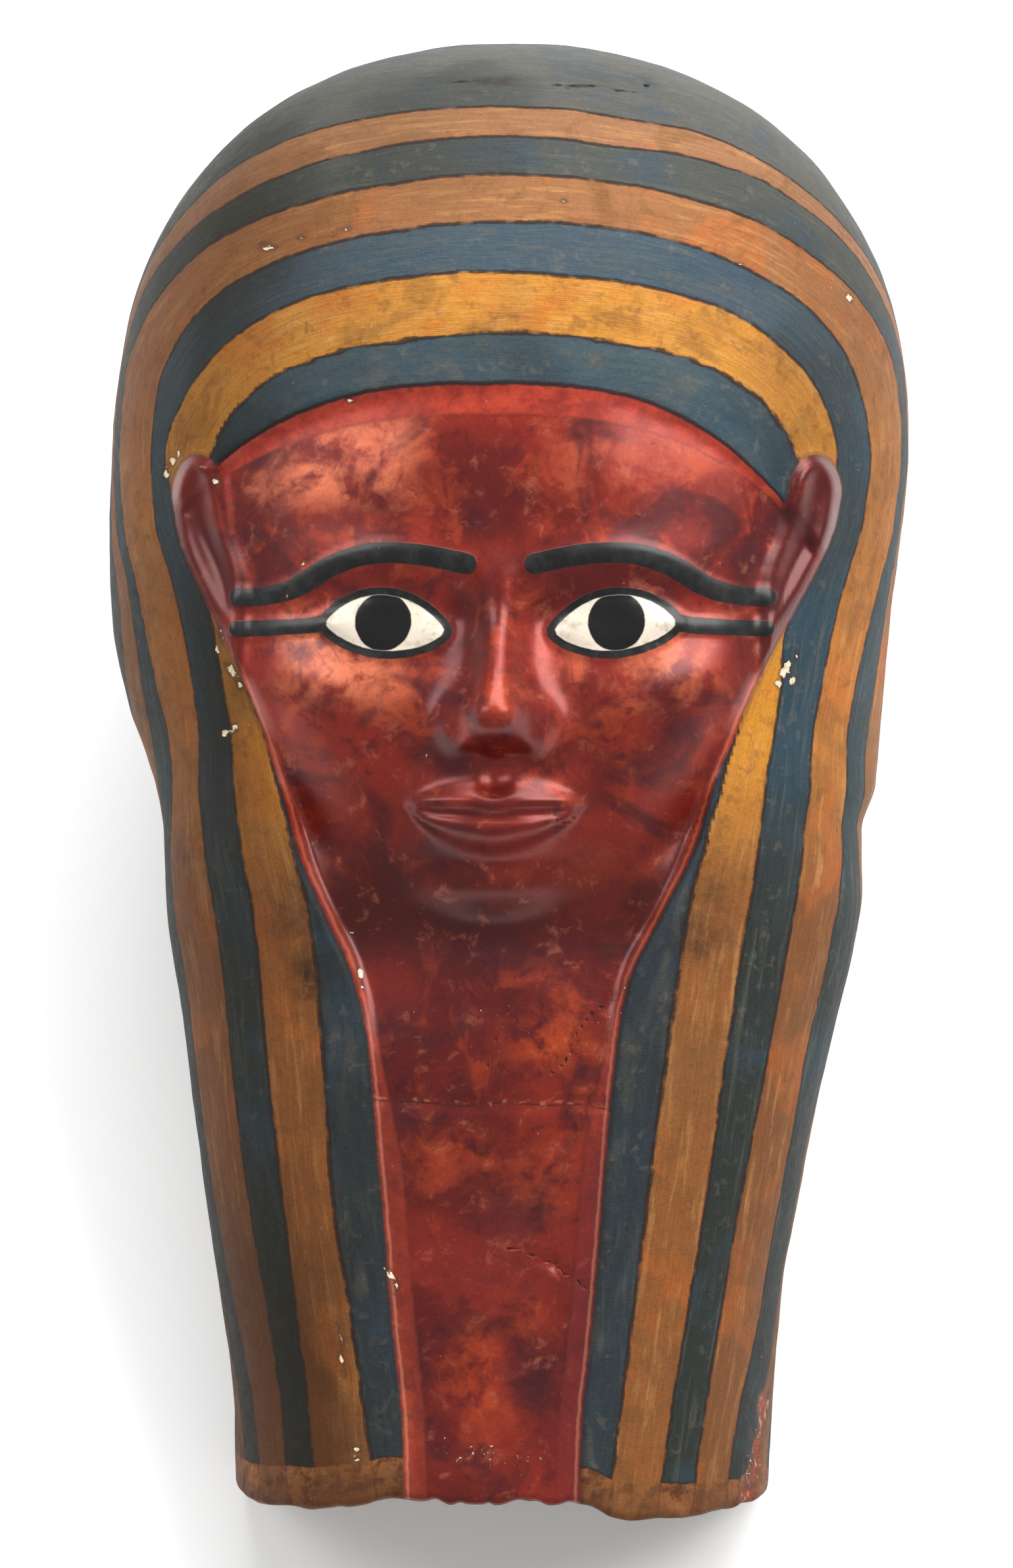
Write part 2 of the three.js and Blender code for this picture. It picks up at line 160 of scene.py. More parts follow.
def mid_x(z):
    """x of the middle of the face and bib: the head leans a little to one side."""
    return np.interp(z, [165, 315], [-1.0, 3.0])


def outside(x, z):
    return np.maximum((z - hairline(x)) * 0.9, (np.abs(x - mid_x(z)) - skin_half(z)) * 0.85)


def to_line(x, z, points):
    """Distance to a polyline."""
    best = np.full(x.shape, 1e9)
    for (x0, z0), (x1, z1) in zip(points[:-1], points[1:]):
        dx, dz = x1 - x0, z1 - z0
        t = np.clip(((x - x0) * dx + (z - z0) * dz) / (dx * dx + dz * dz), 0, 1)
        best = np.minimum(best, np.hypot(x - x0 - t * dx, z - z0 - t * dz))
    return best


def smooth_line(points, steps=9):
    """A rounded curve through a few points."""
    p = np.array([points[0], *points, points[-1]], float)
    out = []
    for i in range(1, len(p) - 2):
        for t in np.linspace(0, 1, steps, endpoint=False):
            a, b, c, d = p[i - 1], p[i], p[i + 1], p[i + 2]
            out.append(0.5 * (2 * b + (c - a) * t + (2 * a - 5 * b + 4 * c - d) * t * t + (3 * b - a - 3 * c + d) * t ** 3))
    out.append(p[-2])
    return out


# Leaf-shaped ears against the edge of the headdress: rounded above, running out to a point below.
def ear_width(z):
    return EAR_WIDE * step(EAR_FOOT - 6, EAR_FOOT + 36, z)


def ear_outer(z):
    return skin_half(z) + 0.4


def ear_middle(z):
    return ear_outer(np.minimum(z, EAR_SHOULDER)) - ear_width(z) / 2


ear_z = np.linspace(EAR_FOOT, EAR_SHOULDER, 12)
ear_arc = np.linspace(0, math.pi, 13)[1:-1]
EAR_LINE = (
    [(float(ear_outer(z)), float(z)) for z in ear_z]
    + [(float(ear_middle(EAR_SHOULDER) + EAR_WIDE / 2 * math.cos(a)), EAR_SHOULDER + (EAR_TOP - EAR_SHOULDER) * math.sin(a)) for a in ear_arc]
    + [(float(ear_outer(z) - ear_width(z)), float(z)) for z in ear_z[::-1]]
)
EAR_LINE.append(EAR_LINE[0])


def ear_distance(x, z):
    """Distance from an ear's outline, negative inside it; x from the middle of the face."""
    out = np.full(np.shape(x), 40.0)
    near = (np.abs(x) > 55) & (z > 236) & (z < 332)
    ax, az = np.abs(x[near]), z[near]
    edge = to_line(ax, az, EAR_LINE)
    low = (az < EAR_SHOULDER) & (az > EAR_FOOT) & (ax < ear_outer(az)) & (ax > ear_outer(az) - ear_width(az))
    high = (az >= EAR_SHOULDER) & (np.hypot((ax - ear_middle(az)) / (EAR_WIDE / 2), (az - EAR_SHOULDER) / (EAR_TOP - EAR_SHOULDER)) < 1)
    out[near] = np.where(low | high, -edge, edge)
    return out


# A plain almond eye, a fifth of the face wide, in the painted style with a heavy outline and a line to the temple.
EYE_HALF, LID_UP, LID_DOWN = 18.0, 9.6, 6.2
almond_u = np.linspace(-1, 1, 41)
upper_lid = [(FACE_FIFTH + EYE_HALF * u, EYE_Z + LID_UP * (1 - u * u) ** 0.78 + 1.2 * u) for u in almond_u]
lower_lid = [(FACE_FIFTH + EYE_HALF * u, EYE_Z - LID_DOWN * (1 - u * u) ** 0.72 + 1.2 * u - 0.8 * (1 - u) * (1 + u)) for u in almond_u]
BROW_LINE = smooth_line([(10, BROW_Z + 1.5), (24, BROW_Z + 4.2), (38, BROW_Z + 4.6), (50, BROW_Z + 1.2), (61, BROW_Z - 5), (70, BROW_Z - 7.2), (79, BROW_Z - 7.6)])
TEMPLE_LINE = smooth_line([(51, EYE_Z + 1.4), (58, EYE_Z + 0.6), (68, EYE_Z + 0.2), (79, EYE_Z)])


def eye_distance(x, z):
    """Distance from the eye's outline, negative inside it."""
    ax = np.abs(x)
    edge = np.minimum(to_line(ax, z, upper_lid), to_line(ax, z, lower_lid))
    u = np.clip((ax - FACE_FIFTH) / EYE_HALF, -1, 1)
    top = EYE_Z + LID_UP * (1 - u * u) ** 0.78 + 1.2 * u
    low = EYE_Z - LID_DOWN * (1 - u * u) ** 0.72 + 1.2 * u - 0.8 * (1 - u * u)
    inside = (np.abs(ax - FACE_FIFTH) < EYE_HALF) & (z < top) & (z > low)
    return np.where(inside, -edge, edge)


def brow_distance(x, z):
    """Distance from the painted brows and the lines to the temples, negative inside."""
    ax = np.abs(x)
    thick = 3.1 - 0.5 * step(55, 80, ax)
    return np.minimum(to_line(ax, z, BROW_LINE) - thick, to_line(ax, z, TEMPLE_LINE) - 2.3)


# ---------------------------------------------------------------- face, neck and bib
def face_form(x, z):
    w = mix(101, 62, step(255, 175, z))
    q = np.power(np.abs(x) / w, 2.2) + np.power(np.maximum(0, 255 - z) / 88, 4.4)
    mid = 108 - 0.0006 * (z - 285) ** 2
    return 40 + (mid - 40) * np.sqrt(np.maximum(0, 1 - q))


def cap(x, z, cx, cz, rx, rz, h):
    """A rounded boss."""
    q = ((x - cx) / rx) ** 2 + ((z - cz) / rz) ** 2
    return h * np.sqrt(np.maximum(0, 1 - q))


NOSE_TALL = curve([[NOSE_Z - 7, 0], [NOSE_Z - 3, 1.2], [NOSE_Z + 0.5, 7.0], [NOSE_Z + 4, 15.5], [NOSE_Z + 8, 20.2], [NOSE_Z + 12, 21.0], [NOSE_Z + 18, 17.4], [NOSE_Z + 26, 12.6], [NOSE_Z + 36, 8.0], [NOSE_Z + 43, 5.6], [NOSE_Z + 52, 3.6], [NOSE_Z + 62, 0]])
NOSE_WIDE = curve([[NOSE_Z - 4, 8.6], [NOSE_Z + 4, 10.8], [NOSE_Z + 11, 11.8], [NOSE_Z + 18, 10.4], [NOSE_Z + 28, 8.0], [NOSE_Z + 40, 7.0], [NOSE_Z + 54, 9.0]])


def nose(x, z):
    """A straight nose, one eye wide at its wings."""
    ax = np.abs(x)
    full = 2.1 + 0.7 * step(NOSE_Z + 22, NOSE_Z + 10, z)
    ridge = NOSE_TALL(z) * np.exp(-np.power(ax / NOSE_WIDE(z), full))
    wing = 9.6 * np.exp(-np.power(((ax - 10.6) / 8.4) ** 2 + ((z - NOSE_Z - 7.6) / 9.2) ** 2, 1.45))
    n = smax(ridge, wing, 9.0)
    n -= 2.2 * bump((ax - 6.4) / 3.4, (z - NOSE_Z - 0.2) / 2.6)
    return n - 2.25


def lips(x, z):
    """Full, level lips, closed, as wide as the distance between the pupils' inner edges."""
    ax = np.abs(x)
    line = MOUTH_Z + 1.5 * (x / 25) ** 2 - 0.7 * bump(x / 6)
    top = 9.2 * np.power(np.maximum(0, 1 - (x / 27.5) ** 2), 0.75) * (1 - 0.13 * bump(x / 3.4)) + 0.6
    low = 10.6 * np.power(np.maximum(0, 1 - (x / 25.0) ** 2), 0.8) + 0.6
    up, down = (z - line) / top, (line - z) / low
    fade = np.power(np.maximum(0, 1 - (x / 27.5) ** 2), 0.35)
    r = 4.4 * fade * np.exp(-(((up - 0.40) / 0.50) ** 2)) * (up > -0.6)
    r += 5.0 * fade * np.exp(-(((down - 0.44) / 0.50) ** 2)) * (down > -0.6)
    r -= 1.9 * np.sqrt(np.maximum(0, 1 - (x / 29) ** 2)) * bump((z - line) / 1.7)
    r -= 1.2 * bump((ax - 28.5) / 5, (z - line) / 5.5)
    return r


def face_relief(x, z):
    ax = np.abs(x)
    r = 2.0 * bump((ax - 30) / 25, (z - BROW_Z - 2) / 9)
    r += 1.3 * bump((ax - 27) / 20, (z - BROW_Z - 27) / 17)
    r -= 1.8 * bump((ax - 82) / 11, (z - BROW_Z + 2) / 20)
    r -= 5.4 * bump((ax - 28) / 20, (z - EYE_Z - 1) / 14)
    r -= 2.6 * bump((ax - 13) / 7, (z - EYE_Z - 4) / 10)
    eye = eye_distance(x, z)
    deep = np.clip(-eye / 8.0, 0, 1)
    r += 3.4 * np.sqrt(np.maximum(0, 1 - (1 - deep) ** 2))
    r += 1.0 * np.exp(-((eye - 1.2) / 1.7) ** 2)
    r += 0.6 * (1 - step(-0.9, 0.9, brow_distance(x, z)))
    r += nose(x, z)
    r += 5.2 * bump(x / 30, (z - MOUTH_Z) / 19)
    r += lips(x, z)
    r -= 0.9 * bump(x / 3.4, (z - NOSE_Z + 7) / 7) - 0.25 * bump((ax - 5.4) / 2.6, (z - NOSE_Z + 7) / 7)
    r -= 3.2 * bump(x / 18, (z - MOUTH_Z + 15.0) / 5.0)
    r += 6.8 * bump(x / 19, (z - CHIN_Z - 15) / 10.5)
    r += 4.4 * bump((ax - 45) / 21, (z - NOSE_Z - 11) / 20)
    r += 2.4 * bump((ax - 63) / 17, (z - EYE_Z + 17) / 12)
    r -= 1.8 * bump((ax - 56) / 14, (z - MOUTH_Z) / 17)
    r -= 1.5 * bump((ax - 27 - 0.25 * (NOSE_Z - z)) / 5, (z - MOUTH_Z - 13) / 11)
    r += 2.2 * bump((ax - 47) / 13, (z - CHIN_Z - 16) / 13)
    return r


def ear_relief(x, z):
    e = ear_distance(x, z)
    u = np.abs(x) - ear_middle(z)
    body = 3.2 * (1 - step(-4.2, 2.2, e))
    outer_half = np.maximum(step(-5.5, 2.5, u), step(EAR_SHOULDER - 8, EAR_SHOULDER + 5, z))
    helix = 1.2 * np.exp(-(((e + 3.4) / 2.3) ** 2)) * step(251, 272, z) * outer_half
    hollow = 2.3 * bump((u + 0.6) / 5.0, (z - 290) / 15)
    lobe = 0.5 * bump(u / 4.2, (z - 261) / 8)
    return body + helix + (lobe - hollow) * (1 - step(-4.0, -1.0, e))


CREASE_Z = 122.6


def crease_line(x):
    return CREASE_Z - 0.028 * x + 0.55 * np.sin(x / 9.0) + 0.35 * np.sin(x / 3.7 + 1)



def front_depth(x, wig, z):
    sd = outside(x, z)
    fx = x - mid_x(z)
    recess = 3 + 6 * step(130, 180, z) * (1 - step(215, 260, z))
    skin = smax(wig - recess, face_form(fx, z), 11)
    skin = skin + face_relief(fx, z) * step(166, 180, z)
    below = crease_line(x) - z
    skin = skin + 0.35 * step(-0.6, 0.9, below) * (1 - step(3, 16, below)) - 0.5 * bump(below / 1.4)
    rim = 0.45 * bump((sd + 2.8) / 2.0) * (1 - step(240, 262, z))
    return mix(skin, wig, step(-3.4, 1.9, sd)) + rim + ear_relief(fx, z)


def inside_depth(x, wig, z):
    fx = x - mid_x(z)
    ax = np.abs(fx)
    recess = 3 + 6 * step(130, 180, z) * (1 - step(215, 260, z))
    u = ax / np.maximum(26, skin_half(z))
    form = smax(wig - recess, face_form(fx, z), 16) - 3
    form = form - 5.5 * bump((ax - 27) / 20, (z - EYE_Z - 3) / 14) - 2.5 * bump((ax - 14) / 8, (z - EYE_Z - 5) / 10)
    form = form + 11 * bump(fx / 13, (z - NOSE_Z - 15) / 19) + 4 * bump(fx / 22, (z - CHIN_Z - 14) / 12)
    return mix(form, wig, np.maximum(step(1.0, 1.35, u), step(FACE_TOP - 4, FACE_TOP + 22, z)))


def surface_point(theta, z, depth, top):
    theta, z = np.broadcast_arrays(np.asarray(theta, float), np.asarray(z, float))
    x, wig = headdress(theta, z)
    front = (np.cos(theta) > 0) & (z <= top)
    fade = 1 - step(1.25, 1.5, np.abs(theta))
    d = np.where(front, mix(wig, depth(x, wig, z), fade), wig)
    return np.stack([x, d, z], -1)


def outer_point(theta, z):
    return surface_point(theta, z, front_depth, FACE_TOP + 8)


def smooth_point(theta, z):
    return surface_point(theta, z, inside_depth, FACE_TOP + 22)


def inner_point(theta, z):
    """The wall's inner face, level with the outer one on every edge."""
    theta, z = np.broadcast_arrays(np.asarray(theta, float), np.asarray(z, float))
    zc = np.clip(z, 0, HEIGHT - 14)
    u = smooth_point(theta + 0.02, zc) - smooth_point(theta - 0.02, zc)
    v = smooth_point(theta, np.minimum(HEIGHT - 12, zc + 3)) - smooth_point(theta, np.maximum(0, zc - 3))
    n = np.cross(u, v)
    n /= np.linalg.norm(n, axis=-1, keepdims=True)
    p = smooth_point(theta, z)
    n *= np.where(n[..., 0] * p[..., 0] + n[..., 1] * p[..., 1] > 0, 1, -1)[..., None]
    level = step(300, 345, z)
    flat = np.maximum(0.72, np.hypot(n[..., 0], n[..., 1]))
    k = mix(WALL / flat, WALL, level)
    return p - n * np.stack([k, k, k * level], -1)


# ---------------------------------------------------------------- hem: the uneven lower edge, and where the stripes end
HEM_EDGE = curve([[-86, 3.4], [-80, 2.6], [-72, 1.6], [-50, 3.0], [-39, 4.9], [-31, 7.2], [-27, 6.6], [-22, 5.6], [-16, 4.6], [-6, 4.9], [3, 4.4], [9, 5.6], [16, 4.6], [27, 5.2], [35, 1.4], [42, 0.2], [60, 0.3], [72, 0.6], [84, 0.8]])
HEM_NOTCHES = [(-17.6, 2.6, 1.7), (5.8, 3.6, 1.3), (-2.0, 1.2, 0.8), (12.5, 2.0, 1.0), (-10.5, 1.6, 0.8), (22.0, 2.4, 0.9), (-47.0, 2.2, 0.8), (66.0, 2.8, 0.9), (74.5, 1.6, 1.2), (-62.0, 3.0, 0.6), (49.0, 2.2, 0.5)]


def hem_edge(x):
    lift = HEM_EDGE(x)
    for at, wide, deep in HEM_NOTCHES:
        lift = lift + deep * bump((x - at) / wide)
    return lift


def hem_rise(point_z, x):
    """How far a point near the hem is moved up so that the edge is uneven."""
    return hem_edge(x) * (1 - step(0, 42, point_z))


# ---------------------------------------------------------------- grid of columns and rows
def front_columns():
    fine = 2400
    end = rear_angle(np.array([260.0]))[0]
    th = np.linspace(0, end, fine + 1)
    x, d = headdress(th, np.full(th.shape, 260.0))
    seg = np.hypot(np.diff(x), np.diff(d))
    xm = np.abs(x[1:])
    size = np.where(xm < 60, 1.42, np.where(xm < 104, 1.5, np.where(xm < 114, 2.4, 3.6)))
    length = np.concatenate([[0], np.cumsum(seg / size)])
    count = int(round(length[-1]))
    half = np.interp(np.linspace(0, length[-1], count + 1), length, np.linspace(0, 1, fine + 1))
    return np.concatenate([-half[:0:-1], half])


def dome_rows(size):
    a = np.linspace(0.001, math.pi / 2, 3000)
    z = DOME_Z + (HEIGHT - DOME_Z) * np.cos(a) ** (2 / DOME_N)
    r = 118 * np.sin(a) ** (2 / DOME_N)
    length = np.concatenate([[0], np.cumsum(np.hypot(np.diff(z), np.diff(r)))])
    stop = np.searchsorted(-z, -(FACE_TOP + 6))
    count = int(round(length[stop] / size))
    want = np.linspace(0, length[stop], count + 1)[1:]
    return np.interp(want, length, z)


def rows(dome_size, face_size, low_size):
    crown = dome_rows(dome_size)
    top = crown[-1]
    n = int(round((top - NAPE_Z) / face_size))
    upper = np.concatenate([crown, top + (NAPE_Z - top) * np.arange(1, n + 1) / n])
    m = int(round((NAPE_Z - 165) / face_size))
    mid = NAPE_Z + (165 - NAPE_Z) * np.arange(1, m + 1) / m
    k = int(round(165 / low_size))
    low = 165 - 165 * np.arange(1, k + 1) / k
    return upper, np.concatenate([mid, low])


BACK_HALF = 27  # columns either side of the middle of the back


def back_angles(z_end_angle, count):
    """Angles of the back's columns, evenly from one rear edge round to the other."""
    t = np.arange(1, count) / count
    return z_end_angle + (2 * math.pi - 2 * z_end_angle) * t


def nape_dip(theta, z):
    return NAPE_DIP * step(NAPE_Z + 70, NAPE_Z, z) * np.sin(np.clip(np.abs(theta) - 1.8, 0, math.pi / 2))


class Grid:
    """Columns and rows of one face of the wall. Rows from the crown down; only the upper ones go all the way round."""

    def __init__(self, point, cols, upper, lower, back_count, trim=1.0):
        self.nf, self.nu = len(cols), len(upper)
        self.nb = back_count - 1
        z = np.concatenate([upper, lower])
        end = rear_angle(z)
        theta = [np.concatenate([cols * e * trim, back_angles(e * trim, back_count)]) if j < self.nu else cols * e * trim for j, e in enumerate(end)]
        theta = [np.where(t > math.pi, t - 2 * math.pi, t) for t in theta]
        zz = [np.full(t.shape, v) for t, v in zip(theta, z)]
        zz = [np.where(np.arange(len(t)) >= self.nf, q - nape_dip(t, q), q) if len(t) > self.nf else q for t, q in zip(theta, zz)]
        self.theta, self.z = np.concatenate(theta), np.concatenate(zz)
        self.row = np.concatenate([[0], np.cumsum([len(t) for t in theta])])
        self.points = point(self.theta, self.z)
        self.rows = len(z)

    def at(self, j, i):
        width = self.row[j + 1] - self.row[j]
        return self.row[j] + (i % width if j < self.nu else i)


cols = front_columns()
upper, lower = rows(2.7, 1.42, 1.95)
BACK_COUNT = 2 * BACK_HALF
outer = Grid(outer_point, cols, upper, lower, BACK_COUNT)
in_cols = cols[::3]
if in_cols[-1] != cols[-1]:
    in_cols = np.append(in_cols, cols[-1])
in_upper, in_lower = upper[2::3], lower[2::3]
in_upper = np.append(in_upper[in_upper > NAPE_Z + 5], NAPE_Z + 4)
in_lower = np.append(in_lower[(in_lower < NAPE_Z) & (in_lower > 6)], 4.0)
inner = Grid(inner_point, in_cols, in_upper, in_lower, BACK_COUNT // 2, trim=0.975)
print("grid", outer.nf, outer.nb, outer.nu, outer.rows, "inner", inner.nf, inner.nb, inner.nu, inner.rows)

# ---------------------------------------------------------------- outer face: hem edge, hand-made unevenness, damage
P = outer.points.copy()


def grid_normals(g, p):
    """Unit normals pointing out of the wall, from each point's neighbours on the grid."""
    n = np.zeros_like(p)
    for j in range(g.rows):
        a, b = g.row[j], g.row[j + 1]
        ju, jd = max(j - 1, 0), min(j + 1, g.rows - 1)
        width = b - a
        idx = np.arange(width)
        if j < g.nu:
            right, left = p[a + (idx + 1) % width], p[a + (idx - 1) % width]
        else:
            right, left = p[a + np.minimum(idx + 1, width - 1)], p[a + np.maximum(idx - 1, 0)]
        up = p[g.row[ju] + idx]
        wide_down = g.row[jd + 1] - g.row[jd]
        down = p[np.where(idx < wide_down, g.row[jd] + np.minimum(idx, wide_down - 1), a + idx)]
        n[a:b] = np.cross(right - left, up - down)
    length = np.linalg.norm(n, axis=1, keepdims=True)
    n = n / np.maximum(length, 1e-9)
    flip = n[:, 0] * p[:, 0] + n[:, 1] * p[:, 1] + 0.6 * n[:, 2] * (p[:, 2] - 300) * (p[:, 2] > 300) < 0
    n[flip] *= -1
    return n


X0, Z0 = P[:, 0].copy(), P[:, 2].copy()
wig_x, wig_d = headdress(outer.theta, outer.z)
facing = np.cos(outer.theta) > 0
skin = np.where(facing, np.minimum(outside(X0, Z0), ear_distance(X0 - mid_x(Z0), Z0)), 60.0)
skin = np.where(facing & (np.abs(outer.theta) < 1.45), skin, np.maximum(skin, 8.0))

# Damage, in (x, z) of the upright front, millimetres.
CROWN_CRACK = [(-19, 430.2), (-9, 431.4), (-3, 430.2), (4, 430.0), (12, 430.6), (20, 429.2), (28, 429.6), (36, 428.0), (44, 428.6)]
CROWN_CRACK_LOW = [(21, 427.6), (30, 427.0), (38, 427.4), (44.5, 427.0)]
NECK_CRACK = [(-3.0, 132.6), (-1.4, 137.0), (-0.2, 141.6), (2.2, 145.8), (1.4, 149.0)]
NECK_CRACK_LOW = [(16, 131.5), (20, 134.0), (22.5, 138.5), (24, 144.0), (29, 150.0), (37, 154.5)]
BIB_CRACK = [(17.6, 74.8), (21, 71.6), (24, 70.8), (27, 67.0)]
BIB_CRACK_UP = [(17.6, 74.8), (13, 76.6), (8, 79.0), (3.5, 79.6)]
CHIPS = [  # x, z, half width, half height, turn in degrees
    (-98.4, 315.0, 1.5, 1.1, 20), (-100.3, 311.6, 1.0, 1.6, 0), (-96.0, 317.6, 0.8, 0.8, 0), (-84.0, 308.0, 0.9, 0.9, 0), (-88.8, 313.0, 0.7, 0.7, 0),
    (-42.3, 331.0, 0.8, 0.5, 0), (-24.5, 333.6, 0.6, 0.4, 0), (16.0, 334.6, 0.7, 0.4, 0),
    (-62.4, 273.0, 0.5, 2.4, -28), (-57.0, 283.2, 0.4, 1.2, -30), (-61.0, 268.5, 0.4, 0.8, 10),
    (-83.6, 258.0, 0.8, 1.0, 0), (-79.0, 251.4, 0.9, 2.6, 38), (-77.0, 247.6, 0.6, 1.2, 30), (-82.4, 262.8, 0.4, 1.8, 10), (-81.9, 232.8, 2.0, 1.0, 12), (-79.0, 234.6, 0.9, 1.2, 0),
    (86.6, 252.0, 1.2, 3.2, -32), (88.9, 248.4, 0.9, 1.6, -25), (84.2, 247.4, 0.9, 0.8, 0), (89.6, 256.4, 0.5, 0.9, 0),
    (31.3, 235.3, 0.7, 0.6, 0), (17.5, 262.5, 0.4, 0.4, 0), (8.0, 246.0, 0.5, 0.5, 0), (-20.0, 226.0, 0.4, 0.6, 0),
    (-67.7, 378.2, 2.2, 0.8, 15), (-71.2, 379.4, 1.0, 0.5, 15), (-46.6, 381.8, 2.4, 0.7, 18), (-43.6, 383.4, 0.9, 0.6, 0), (-58.0, 380.6, 0.9, 0.4, 10), (-88.5, 366.2, 1.0, 0.9, 30), (-82.3, 374.0, 0.9, 0.6, 0),
    (-78.0, 371.0, 0.6, 0.5, 0), (-53.4, 350.8, 0.9, 0.5, 20), (-55.5, 353.0, 0.5, 0.8, 0), (66.4, 391.4, 0.7, 0.7, 0), (61.8, 377.2, 0.9, 0.5, -20), (105.8, 365.1, 1.0, 1.3, 0), (73.0, 373.0, 0.6, 0.6, 0), (20.4, 390.6, 0.7, 0.4, 0),
    (-46.4, 47.1, 0.6, 1.3, 8), (-47.2, 56.1, 0.4, 0.9, 0), (-46.0, 51.4, 0.5, 0.9, 0), (-45.6, 42.6, 0.6, 1.1, 0), (-41.4, 17.2, 0.9, 0.7, 0), (-41.0, 14.0, 0.8, 0.5, 0), (-43.2, 36.0, 0.4, 0.6, 0),
    (-40.5, 161.2, 0.9, 1.9, 6), (-39.6, 158.0, 0.7, 1.0, 0), (-43.4, 173.0, 0.6, 0.6, 0), (-84.6, 176.6, 0.5, 0.9, 0), (-67.0, 92.0, 0.6, 0.6, 0), (-46.6, 95.6, 0.4, 0.8, 0),
    (-31.2, 71.6, 0.9, 1.2, 10), (-29.4, 68.4, 0.5, 1.1, 0), (-33.0, 73.6, 0.7, 0.5, 0), (-30.8, 66.6, 0.4, 0.4, 0),
    (76.6, 12.0, 0.5, 0.9, 24), (75.8, 8.0, 0.8, 0.5, 0),
    (2.2, 250.4, 0.4, 0.6, 0), (26.0, 152.0, 0.5, 0.5, 0), (38.0, 157.0, 0.9, 0.5, 35), (-9.0, 152.6, 0.5, 0.4, 0), (14.4, 176.0, 0.5, 0.3, 0),
]
HOLES = [(17.6, 74.8, 1.0, 1.7), (44.6, 430.8, 1.1, 1.6), (24.6, 128.6, 0.6, 0.8), (-93.2, 300.0, 0.5, 0.7)]  # x, z, radius, depth
RAW_EDGE = [(81.8, 31), (80.5, 24), (78, 15), (77, 7), (75, 2)]  # flaked strip up the right lappet's corner


def spot_distance(x, z, spots):
    best = np.full(x.shape, 40.0)
    for sx, sz, a, b, turn in spots:
        near = (np.abs(x - sx) < 14) & (np.abs(z - sz) < 14)
        c, t = math.cos(math.radians(turn)), math.sin(math.radians(turn))
        u, v = (x[near] - sx) * c + (z[near] - sz) * t, (z[near] - sz) * c - (x[near] - sx) * t
        best[near] = np.minimum(best[near], (np.hypot(u / a, v / b) - 1) * min(a, b))
    return best


N = grid_normals(outer, P)
lump = 0.75 * noise(P, 62, 11) + 0.38 * noise(P, 24, 12) + 0.16 * noise(P, 9, 13) + 0.07 * noise(P, 4.2, 14)
smooth_lump = 0.30 * noise(P, 34, 21) + 0.16 * noise(P, 13, 22) + 0.05 * noise(P, 5, 23)
on_skin = 1 - step(-4, 3, skin)
crack = np.full(X0.shape, 40.0)
for line in (CROWN_CRACK, CROWN_CRACK_LOW, NECK_CRACK, NECK_CRACK_LOW, BIB_CRACK, BIB_CRACK_UP):
    crack = np.minimum(crack, to_line(X0, Z0, line))
crack = np.where(facing, crack, 40.0)
chip = np.where(facing, spot_distance(X0, Z0, CHIPS), 40.0)
raw = np.where(facing, to_line(X0, Z0, RAW_EDGE) - 2.2 - 1.6 * noise(P, 6, 61), 40.0)
raw = np.where(X0 > 60, np.maximum(raw, (np.abs(outer.theta) - 1.40) * 70 - 2.5 * noise(P, 5, 62)), 40.0)
hole = np.full(X0.shape, 40.0)
pit = np.zeros(X0.shape)
for hx, hz, hr, deep in HOLES:
    dist = np.hypot(X0 - hx, Z0 - hz)
    hole = np.where(facing, np.minimum(hole, dist - hr), hole)
    pit += np.where(facing, deep * bump(dist / (hr * 1.3)), 0)
cut = mix(lump, smooth_lump, on_skin) - pit - 0.35 * bump(crack / 1.2) - 0.25 * (1 - step(-0.6, 0.8, chip)) - 0.7 * (1 - step(-1.5, 1.0, raw))
P = P + N * cut[:, None]
P[:, 2] += hem_rise(Z0, X0) * np.where(facing, 1, 0.5)

# ---------------------------------------------------------------- inner face and the rounded, worn rims between the two
Q = inner.points.copy()
Q = Q + np.stack([0.9 * noise(Q, 40, 31) + 0.5 * noise(Q, 15, 32), 0.9 * noise(Q, 40, 33) + 0.5 * noise(Q, 15, 34), np.zeros(len(Q))], 1) * 0.6
Q[:, 2] += hem_rise(Q[:, 2], Q[:, 0]) * 0.6


def boundary(g):
    """Indices round the free edge: along the hem, up one lappet, round the nape and down the other."""
    last = g.rows - 1
    hem = [g.at(last, i) for i in range(g.nf)]
    right = [g.at(j, g.nf - 1) for j in range(last - 1, g.nu - 2, -1)]
    nape = [g.at(g.nu - 1, i) for i in range(g.nf, g.nf + g.nb)]
    left = [g.at(j, 0) for j in range(g.nu - 1, last)]
    return hem, right, nape, left


ring_runs = boundary(outer)
ring = np.array([i for run in ring_runs for i in run])
in_ring = np.array([i for run in boundary(inner) for i in run])
ring_theta, ring_z = outer.theta[ring], outer.z[ring]
ring_out = P[ring]
ring_in = inner_point(ring_theta, ring_z)
ring_in[:, 2] += hem_rise(ring_z, ring_in[:, 0]) + np.where(ring_z < 1, 0.4 * noise(ring_in, 7, 41), 0)
# outwards from the free edge, in the wall's own surface
to_inside = np.zeros_like(ring_out)
start = 0
for run, name in zip(ring_runs, ("hem", "right", "nape", "left")):
    for k, i in enumerate(run):
        if name in ("hem", "nape"):
            to_inside[start + k] = (0, 0, -1)
        else:
            to_inside[start + k] = (0, -1, 0)
    start += len(run)
RIM_STEPS = [(0.14, 0.62), (0.36, 0.95), (0.64, 1.0), (0.88, 0.6)]
rim_rings = []
for t, swell in RIM_STEPS:
    pts = mix(ring_out, ring_in, t) + to_inside * (1.25 * swell * (1 + 0.35 * noise(ring_out, 6, 42 + int(10 * t))))[:, None]
    rim_rings.append(pts)

